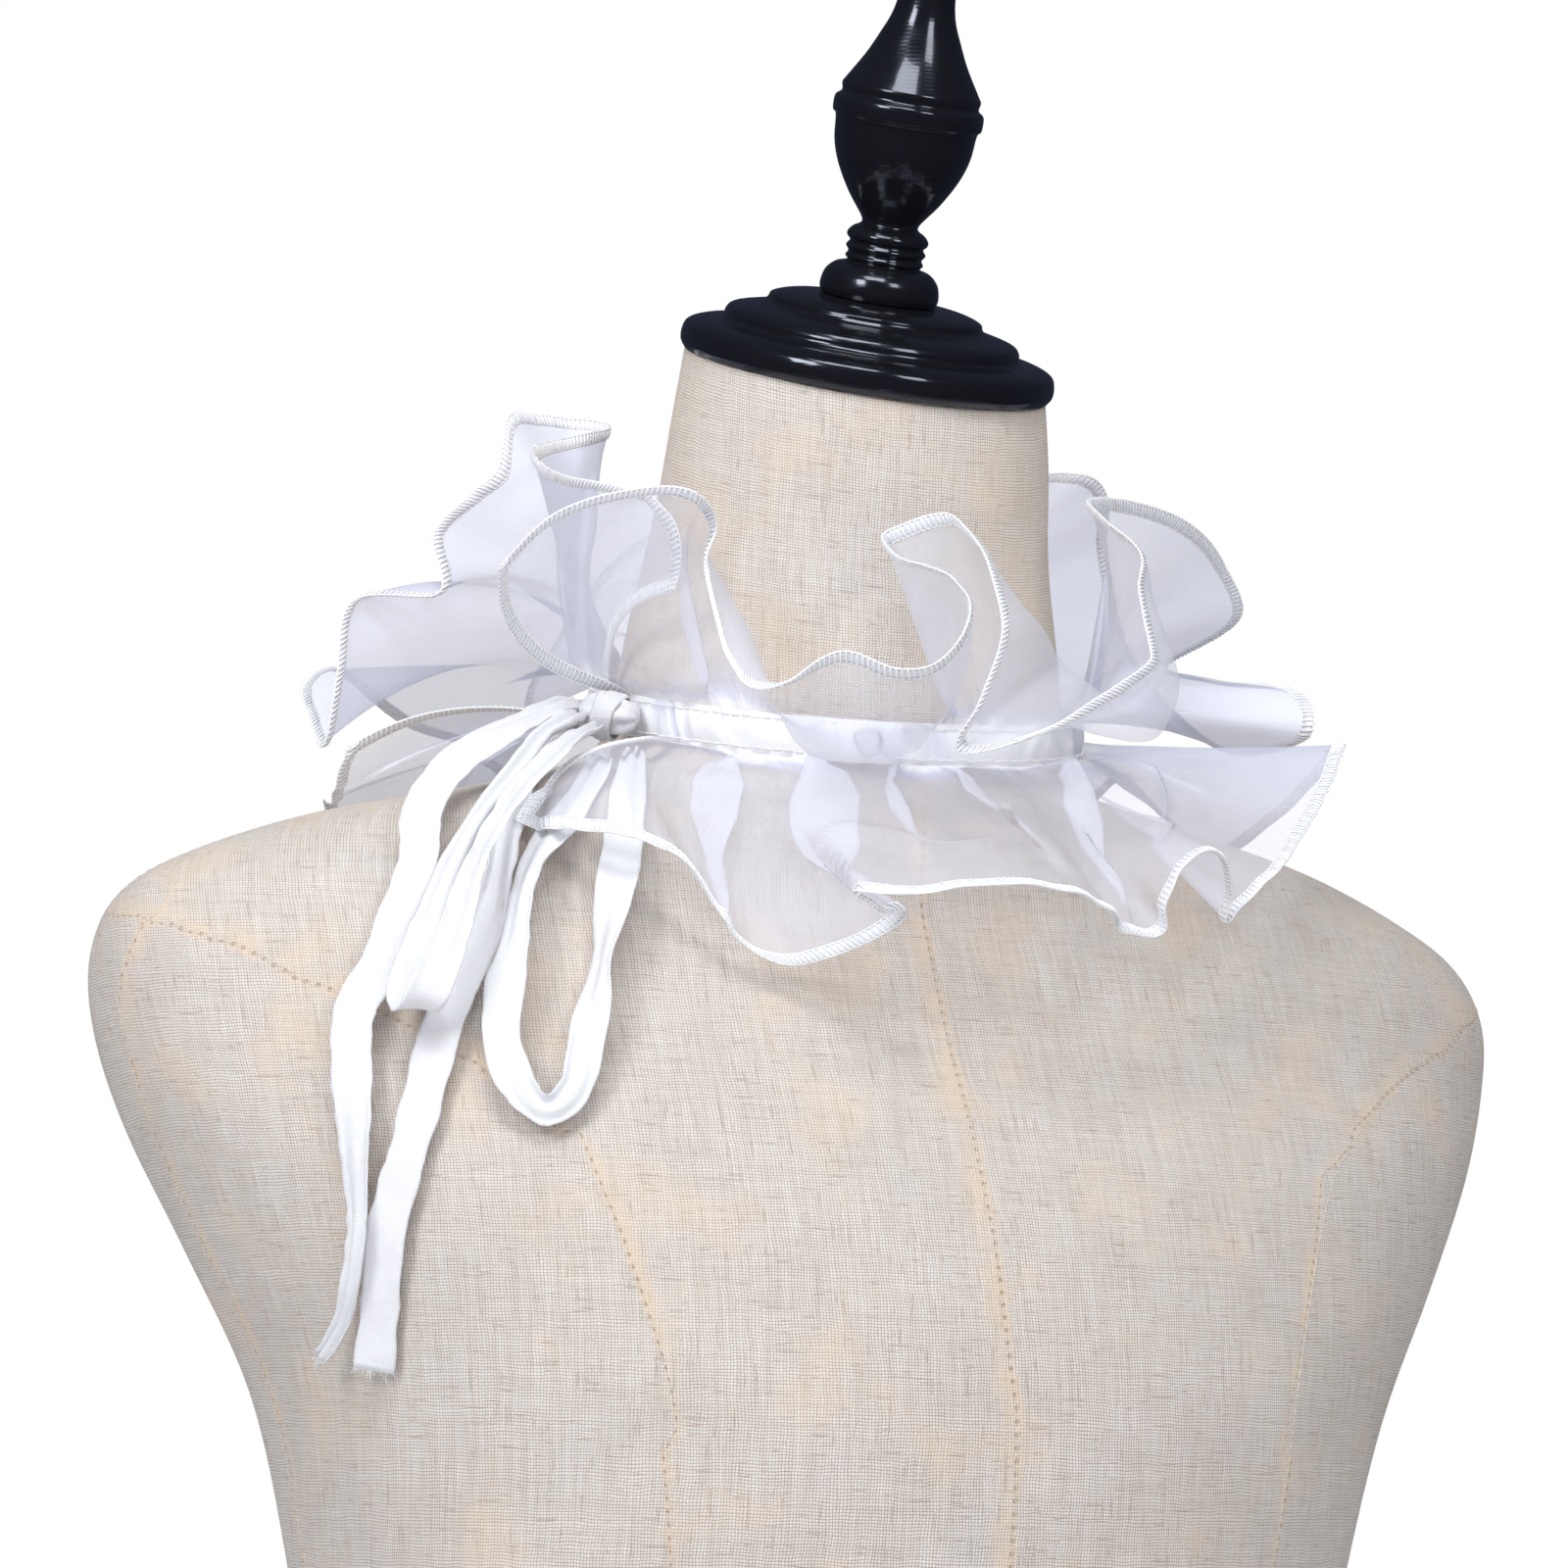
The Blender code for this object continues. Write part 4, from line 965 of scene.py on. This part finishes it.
upperRuffle, upperSpots, upperCut = makeRuffle("upperRuffle", "upper", 1, "upper_ruffle", 21)
lowerRuffle, lowerSpots, lowerCut = makeRuffle("lowerRuffle", "lower", -1, "lower_ruffle", 41)
print("ruffles made")

casing = {
    "columns": 880, "rows": 21, "fine": 0.46, "bulge": 0.6, "stitchUp": 3.9, "slant": 0.0028, "knotAt": -60,
    "stitch": 2.3, "stitchPitch": 2.9, "stitchHigh": 0.42, "stitchLift": 0.32, "wander": 0.12,
    "thread": 0.2, "stretch": 2.6, "streaksFrom": 50, "dense": 0.84, "denser": 0.24,
}
overlock = {
    "width": 3.5, "thick": 0.9, "pitch": 1.4, "perTurn": 8, "thread": 0.28, "uneven": 0.10,
    "coreStep": 1.1, "coreWide": 0.40, "coreThick": 0.24, "pastEdge": 0.4,
}


def threads(name, runs, radius, material):
    # one tube for each run of points in mm, joined in one mesh
    curve = bpy.data.curves.new(name, "CURVE")
    curve.dimensions = "3D"
    curve.bevel_depth = radius * mm
    curve.bevel_resolution = 0
    curve.use_fill_caps = True
    for points in runs:
        line = curve.splines.new("POLY")
        line.points.add(len(points) - 1)
        spots = np.ones((len(points), 4))
        spots[:, :3] = np.array(points) * mm
        line.points.foreach_set("co", spots.ravel())
    tube = bpy.data.objects.new(name + "Path", curve)
    mesh = bpy.data.meshes.new_from_object(tube)
    bpy.data.objects.remove(tube)
    mesh.name = name
    mesh.shade_smooth()
    mesh.materials.clear()
    mesh.materials.append(material)
    obj = bpy.data.objects.new(name, mesh)
    bpy.context.scene.collection.objects.link(obj)
    return obj


def makeCasing(kit):
    degrees = np.linspace(*ring["opening"], kit["columns"])[:, None]
    share = ringShare(degrees)
    half = ring["casingHalf"]
    up = half * np.sin(np.linspace(-math.pi / 2, math.pi / 2, kit["rows"]))[None]
    lip = np.clip((np.abs(up) - kit["stitchUp"]) / (half - kit["stitchUp"]), 0, 1) ** 1.5
    middle = np.clip(1 - (up / kit["stitchUp"]) ** 2, 0, 1)
    out = gatherTucks(share) * lip + kit["bulge"] * middle
    # soft slanting draws, and close wrinkles by the knot
    gathers = slowNoise(share + kit["slant"] * up, 62, 62)
    gathers = gathers + 0.5 * slowNoise(share - 0.4 * kit["slant"] * up, 120, 63)
    byKnot = np.exp(-((degrees - kit["knotAt"]) / 9) ** 2)
    gathers = gathers + 1.6 * byKnot * slowNoise(share + 0.0006 * up, 260, 64)
    out = out + kit["fine"] * gathers * (0.5 + 0.9 * middle)
    spots = ringSpots(degrees, out, up + 0 * share)
    run = runLength(spots[:, kit["rows"] // 2])
    flat = layFlat(run[:, None] * kit["stretch"], up + half + kit["streaksFrom"])
    gather = np.clip(kit["dense"] + kit["denser"] * gathers, 0, 1)
    piece = gridPiece("casingCloth", spots, flat, organza, gather=gather)
    stitches = []
    count = int(run[-1] / kit["stitchPitch"])
    for side in (-1, 1):
        middleUp = side * kit["stitchUp"]
        for i in range(count):
            start = (i + 0.15) / count
            stop = start + kit["stitch"] / run[-1]
            where = np.interp(np.linspace(start, stop, 5), (0, 1), ring["opening"])
            lift = kit["stitchLift"] + kit["stitchHigh"] * np.sin(np.linspace(0, math.pi, 5))
            wander = kit["wander"] * math.sin(i * 2.3 + side)
            stitches.append(ringSpots(where, lift, middleUp + wander + 0 * where))
    rows = threads("casingStitches", stitches, kit["thread"], overlockThread)
    for obj in (piece, rows):
        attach(obj, "root")
    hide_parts("casing")
    return piece, rows, run[-1]


def overlockEdge(name, spots, seed):
    # the thread braid along a ruffle's free edge and both its short ends
    kit = overlock
    runs = ((spots[0], spots[2]), (spots[:, -1], spots[:, -3]), (spots[-1], spots[-3]))
    cores, loops = [], []
    for index, (edge, inner) in enumerate(runs):
        length = runLength(edge)
        inward = unit(inner - edge)
        face = unit(np.cross(np.gradient(edge, axis=0), inward))
        total = length[-1]

        def along(places, values):
            return np.stack([np.interp(places, length, values[:, k]) for k in range(3)], axis=-1)

        def section(places, wide, thick, angle):
            middle = along(places, edge) + unit(along(places, inward)) * (kit["width"] / 2 - kit["pastEdge"])
            wideWay, faceWay = unit(along(places, inward)), unit(along(places, face))
            middle = middle + wideWay * (wide * np.cos(angle))[:, None]
            return middle + faceWay * (thick * np.sin(angle))[:, None]

        places = np.linspace(0, total, int(total / kit["coreStep"]) + 1)
        around = np.linspace(0, fullTurn, 9)
        wide, thick = kit["width"] * kit["coreWide"], kit["thick"] * kit["coreThick"]
        core = [section(places, wide, thick, a + 0 * places) for a in around]
        cores.append(np.stack(core, axis=1))
        count = int(total / kit["pitch"]) * kit["perTurn"]
        places = np.linspace(0, total, count + 1)
        beat = fullTurn * np.arange(count + 1) / kit["perTurn"]
        rough = 1 + kit["uneven"] * np.random.default_rng(seed + index).uniform(-1, 1, count + 1)
        # one thread goes over and under, and a cord of loops runs down each side
        loops.append(section(places, kit["width"] / 2 * rough, kit["thick"] / 2 * rough, beat))
        for side in (0, math.pi):
            sway = side + 0.25 * np.sin(beat * 2)
            loops.append(section(places, kit["width"] * 0.47, kit["thick"] * 0.5, sway)[::2])
    made = []
    for i, core in enumerate(cores):
        run = runLength(core[:, 0])
        girth = np.linspace(0, 2 * kit["width"], core.shape[1])
        flat = layFlat(run[:, None], girth[None])
        made.append(gridPiece(f"{name}Core{i}", core, flat, hemThread, tube=True))
    made.append(threads(f"{name}Loops", loops, kit["thread"], overlockThread))
    for obj in made:
        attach(obj, "root")
    return made


casingCloth, casingStitches, casingRun = makeCasing(casing)
upperOverlock = overlockEdge("upperOverlock", upperSpots, 71)
lowerOverlock = overlockEdge("lowerOverlock", lowerSpots, 81)
print("casing and overlocking made")

tape = {
    "between": 7, "rows": 11, "width": 10.0, "thick": 0.36, "curl": 0.5, "selvedge": 0.34, "crease": 0.42,
    "drawnHalf": 5.0, "drawnIn": 1.9, "frayed": 26, "fibre": 0.07, "fibreLean": 0.22, "fibreBend": 0.35,
    # each bend: across, ahead and height in mm, the way its face looks and tips, how wide it lies
    "outerTail": (
        (-76, 11.5, 461, -40, 40, 4), (-84, 17, 459.5, -36, 40, 6), (-94, 22, 454, -30, 40, 8),
        (-108, 28, 446, -28, 34, 10), (-120, 36, 437, -26, 20, 10), (-128, 43, 426, -26, 4, 10),
        (-131, 50, 413, -26, 0, 10), (-137, 55, 399, -20, 0, 10), (-142, 58, 387, -24, 0, 10),
        (-149, 60, 375, -34, 0, 10), (-150, 62, 363, -34, 0, 10), (-150, 65, 349, -52, 0, 9.5),
        (-149, 65, 335, -66, 0, 9), (-148, 65, 323, -74, 0, 8), (-148, 61, 310, -66, 0, 6),
        (-148, 55, 301, -72, 0, 4), (-150, 47, 293, -84, -14, 3.5),
    ),
    "innerTail": (
        (-75.8, 11, 454.8, -34, 40, 4), (-83, 18, 451.5, -30, 40, 5), (-91, 26, 446.5, -26, 36, 7),
        (-101, 38, 437, -22, 24, 8), (-108, 49, 423, -4, 8, 8), (-112, 55, 410, 10, 0, 8),
        (-117, 61, 397, -8, 0, 9), (-124, 65, 385, -26, 0, 10), (-130, 68, 371, -32, 0, 10),
        (-135, 71, 354, -34, 0, 10), (-139, 71, 338, -36, 0, 10), (-142, 68, 322, -36, 0, 10),
        (-141, 63, 306, -38, 0, 10), (-140, 57, 290, -38, 0, 10),
    ),
    "outerLoop": (
        (-76.6, 15, 457.4, 150, -36, 4), (-84, 26, 455, 152, -36, 4.5), (-93, 32, 449.6, 154, -36, 5),
        (-103, 42, 440, 154, -26, 5), (-115, 50, 427, 148, -10, 5), (-124, 56, 414, 146, 0, 5.5),
        (-130, 61, 402, 150, 0, 7), (-135, 66, 391, 156, 0, 9.5), (-139, 68, 380, 158, -30, 10),
        (-139, 74, 375, 158, -90, 10), (-136, 78, 381, -22, -10, 10), (-130, 75, 394, -24, 0, 8.5),
        (-124, 69, 409, -30, 0, 6), (-117, 64, 421, -36, 4, 5), (-109, 58, 431, -34, 20, 5.5),
        (-98, 50, 441, -28, 32, 6), (-87, 38, 449, -28, 36, 5), (-76, 23.5, 454, -28, 36, 4),
    ),
    "innerLoop": (
        (-71.6, 14.5, 449.1, -40, 50, 4), (-76, 26, 446.5, -40, 50, 5), (-82, 40, 440, -32, 40, 7),
        (-93, 51.5, 427, -34, 16, 8), (-103, 57, 416, -56, 0, 8), (-109, 64.5, 405, -60, 0, 8),
        (-113, 71, 393, -54, 0, 9), (-116, 73, 381, -40, 0, 10), (-118, 78, 368, -26, 0, 9),
        (-115, 83, 357, -22, 0, 8), (-109, 86, 352, -22, 0, 7), (-102, 86, 358, -22, 0, 8),
        (-97, 81, 374, -34, 0, 9), (-92, 75, 389, -84, 0, 9), (-87, 68, 405, -46, 0, 10),
        (-82, 60, 419, -22, 0, 10), (-77, 50, 434, -20, 24, 8), (-70, 34, 444.5, -20, 44, 6),
        (-66, 21, 448.9, -20, 50, 4),
    ),
}
knot = {
    "middle": (-70.8, 18.4, 457.6), "half": (8.6, 5.4, 5.6), "axis": -44, "droop": -0.12,
    "columns": 64, "around": 96, "pleats": 5, "pleatDeep": 0.16,
    "bandHalf": 0.44, "bandLift": 0.4, "bandFold": 0.10, "bandBulge": 0.30,
}


def facing(face, tip):
    turn, up = np.radians(face), np.radians(tip)
    return np.stack((np.sin(turn) * np.cos(up), -np.cos(turn) * np.cos(up), np.sin(up)), axis=-1)


def thicken(piece):
    wall = piece.modifiers.new("thickness", "SOLIDIFY")
    wall.thickness = tape["thick"] * mm
    wall.offset = 0


def finishTape(name, spots, nodeName):
    run = runLength(spots[:, spots.shape[1] // 2])
    lay = np.linspace(0, tape["width"], spots.shape[1])
    piece = gridPiece(name, spots, layFlat(run[:, None], lay[None]), cottonTape)
    thicken(piece)
    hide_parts(nodeName)
    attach(piece, "root")
    return piece, run[-1]


def makeTape(name, bends, nodeName, seed):
    table = np.array(bends, float)
    rows = np.concatenate((table[:, :3] * (1, -1, 1), facing(table[:, 3], table[:, 4]), table[:, 5:]), axis=1)
    places = np.linspace(0, len(rows) - 1, tape["between"] * (len(rows) - 1) + 1)
    values = splineRows(rows, places)
    path, face, wide = values[:, :3], values[:, 3:6], values[:, 6]
    ahead = unit(np.gradient(path, axis=0))
    width = unit(np.cross(ahead, face))
    face = unit(np.cross(width, ahead))
    t = np.linspace(-1, 1, tape["rows"])[None]
    share = places[:, None] / places[-1]
    # a gathered stretch folds into pleats that keep the tape's own width
    spare = np.sqrt(np.clip(tape["width"] ** 2 - wide ** 2, 0, None))[:, None]
    pleats = spare / 8 * np.cos(1.5 * math.pi * t + 0.8 * slowNoise(share, 5, seed))
    curl = tape["curl"] * (t * t - 0.4) * (1 + 0.6 * slowNoise(share, 7, seed + 1))
    crease = tape["crease"] * slowNoise(share, 22, seed + 2)
    crease = crease * np.cos(1.4 * t + 2 * slowNoise(share, 9, seed + 3))
    wave = slowNoise(share, 34, seed + 4) + 0.7 * slowNoise(share, 78, seed + 5)
    crease = crease + tape["selvedge"] * slowNoise(share, 66, seed + 6) * t ** 4
    lateral = wide[:, None] / 2 * t + tape["selvedge"] * wave * np.abs(t) ** 3 * np.sign(t)
    relief = (pleats + curl + crease)[..., None]
    spots = path[:, None] + width[:, None] * lateral[..., None] + face[:, None] * relief
    return *finishTape(name, spots, nodeName), spots


def frayedEnd(name, spots, length, seed):
    # loose threads at a cut end
    draw = np.random.default_rng(seed)
    last, before = spots[-1], spots[-4]
    runs = []
    for _ in range(tape["frayed"]):
        t = draw.uniform(0, len(last) - 1.001)
        k, part = int(t), t % 1
        start = last[k] * (1 - part) + last[k + 1] * part
        way = unit(last[k] - before[k]) + draw.normal(0, tape["fibreLean"], 3)
        size = draw.uniform(0.4, 1) * length
        bend = draw.normal(0, tape["fibreBend"], 3)
        runs.append([start - way * 0.6 + (way + bend * s) * size * s for s in np.linspace(0, 1, 5)])
    obj = threads(name, runs, tape["fibre"], cottonThread)
    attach(obj, "root")
    return obj


def makeDrawnTape():
    degrees = np.linspace(ring["opening"][0] - 1, ring["opening"][1] + 1, 420)[:, None]
    up = np.linspace(-tape["drawnHalf"], tape["drawnHalf"], 9)[None]
    share = (degrees - degrees[0]) / (degrees[-1] - degrees[0])
    out = -tape["drawnIn"] + 0.15 * slowNoise(share, 60, 91) + 0 * up
    return finishTape("drawnTape", ringSpots(degrees, out, up + 0 * share), "drawn_tape")


def makeKnot(kit):
    across, ahead, height = kit["middle"]
    long, deep, tall = kit["half"]
    turn = math.radians(kit["axis"])
    side = unit(np.array((math.cos(turn), math.sin(turn), kit["droop"])))
    out = np.array((math.sin(turn), -math.cos(turn), 0.0))
    up = np.cross(out, side)
    middle = np.array((across, -ahead, height))
    along = np.sin(np.linspace(-math.pi / 2, math.pi / 2, kit["columns"]))[:, None] * 0.985
    a = np.linspace(0, fullTurn, kit["around"] + 1)[None]
    # pleats that run into the band, deeper away from it
    swell = (1 - np.abs(along) ** 1.9) ** 0.6
    pleat = np.cos(kit["pleats"] * a + 1.4 * along + 0.8 * np.sin(a)) + 0.5 * np.cos(3 * a - 2.1 * along + 1)
    size = swell * (1 + kit["pleatDeep"] * pleat * np.abs(along) ** 0.7 - 0.08 * np.cos(math.pi * along))
    spots = (middle + side * (long * along + 0.5 * np.sin(2 * a) * (1 - along ** 2))[..., None]
             + out * (deep * size * np.cos(a))[..., None] + up * (tall * size * np.sin(a))[..., None])
    run = np.linspace(0, 2 * long, kit["columns"])[:, None]
    body = gridPiece("knotBody", spots, layFlat(a * 5.5, run), cottonTape, tube=True)
    # the turn of tape that holds the bow
    a = np.linspace(-0.3, fullTurn * 0.97, 80)[:, None]
    t = np.linspace(-1, 1, 15)[None]
    place = 0.20 * np.sin(a + 0.6) - 0.04 + kit["bandHalf"] * t * (1 - 0.2 * np.cos(a)) + 0 * a
    lift = kit["bandLift"] + kit["bandFold"] * np.cos(2.4 * math.pi * t + 0.9 * np.sin(a))
    lift = lift + kit["bandBulge"] * (1 - t ** 2)
    size = (1 - np.abs(place) ** 1.9) ** 0.6 * (1 + 0.05 * np.sin(3 * a + 4 * place))
    spots = (middle + side * (long * place)[..., None]
             + out * ((deep * size + lift) * np.cos(a))[..., None]
             + up * ((tall * size + lift) * np.sin(a))[..., None])
    wrap = gridPiece("knotWrap", spots, layFlat(a * 6.5, (t + 1) * 5), cottonTape)
    thicken(wrap)
    for piece in (body, wrap):
        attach(piece, "root")
    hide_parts("knot")
    return body, wrap


drawnTape, drawnLength = makeDrawnTape()
tapes, frays = {}, {}
for key, nodeName, seed in (("outerTail", "outer_tail", 101), ("innerTail", "inner_tail", 111),
                            ("outerLoop", "outer_loop", 121), ("innerLoop", "inner_loop", 131)):
    tapes[key] = makeTape(key, tape[key], nodeName, seed)
    print(key, "length", round(tapes[key][1], 1), "mm")
for key, size, seed in (("outerTail", 2.6, 151), ("innerTail", 2.2, 152)):
    frays[key] = frayedEnd(key + "Fray", tapes[key][2], size, seed)
knotBody, knotWrap = makeKnot(knot)
print("tape, bow and knot made")

seamStitches = {"stitch": 2.1, "pitch": 3.1, "thread": 0.13, "lift": 0.10}


def makeSeamStitches(kit):
    surface = BVHTree.FromObject(form, bpy.context.evaluated_depsgraph_get())
    runs = []
    for seam in seams:
        for mirror in (1,) if seam in middleSeams else (1, -1):
            line = np.array([(x * mirror, -ahead, z) for x, ahead, z in formCover[seam]], float)
            places = np.linspace(0, len(line) - 1, 40 * len(line))
            fine = splineRows(line, places)
            length = runLength(fine)
            for i in range(int(length[-1] / kit["pitch"])):
                start = (i + 0.1) * kit["pitch"]
                at = np.linspace(start, start + kit["stitch"], 4)
                points = [[np.interp(value, length, fine[:, k]) for k in range(3)] for value in at]
                stitch = []
                for point, rise in zip(points, (-0.1, 1, 1, -0.1)):
                    spot, normal = surface.find_nearest(Vector(point) * mm)[:2]
                    stitch.append(np.array(spot + normal * (kit["lift"] * rise * mm)) / mm)
                runs.append(stitch)
    piece = threads("formStitches", runs, kit["thread"], linenThread)
    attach(piece, "root")
    return piece


makeSeamStitches(seamStitches)
print("form stitched")
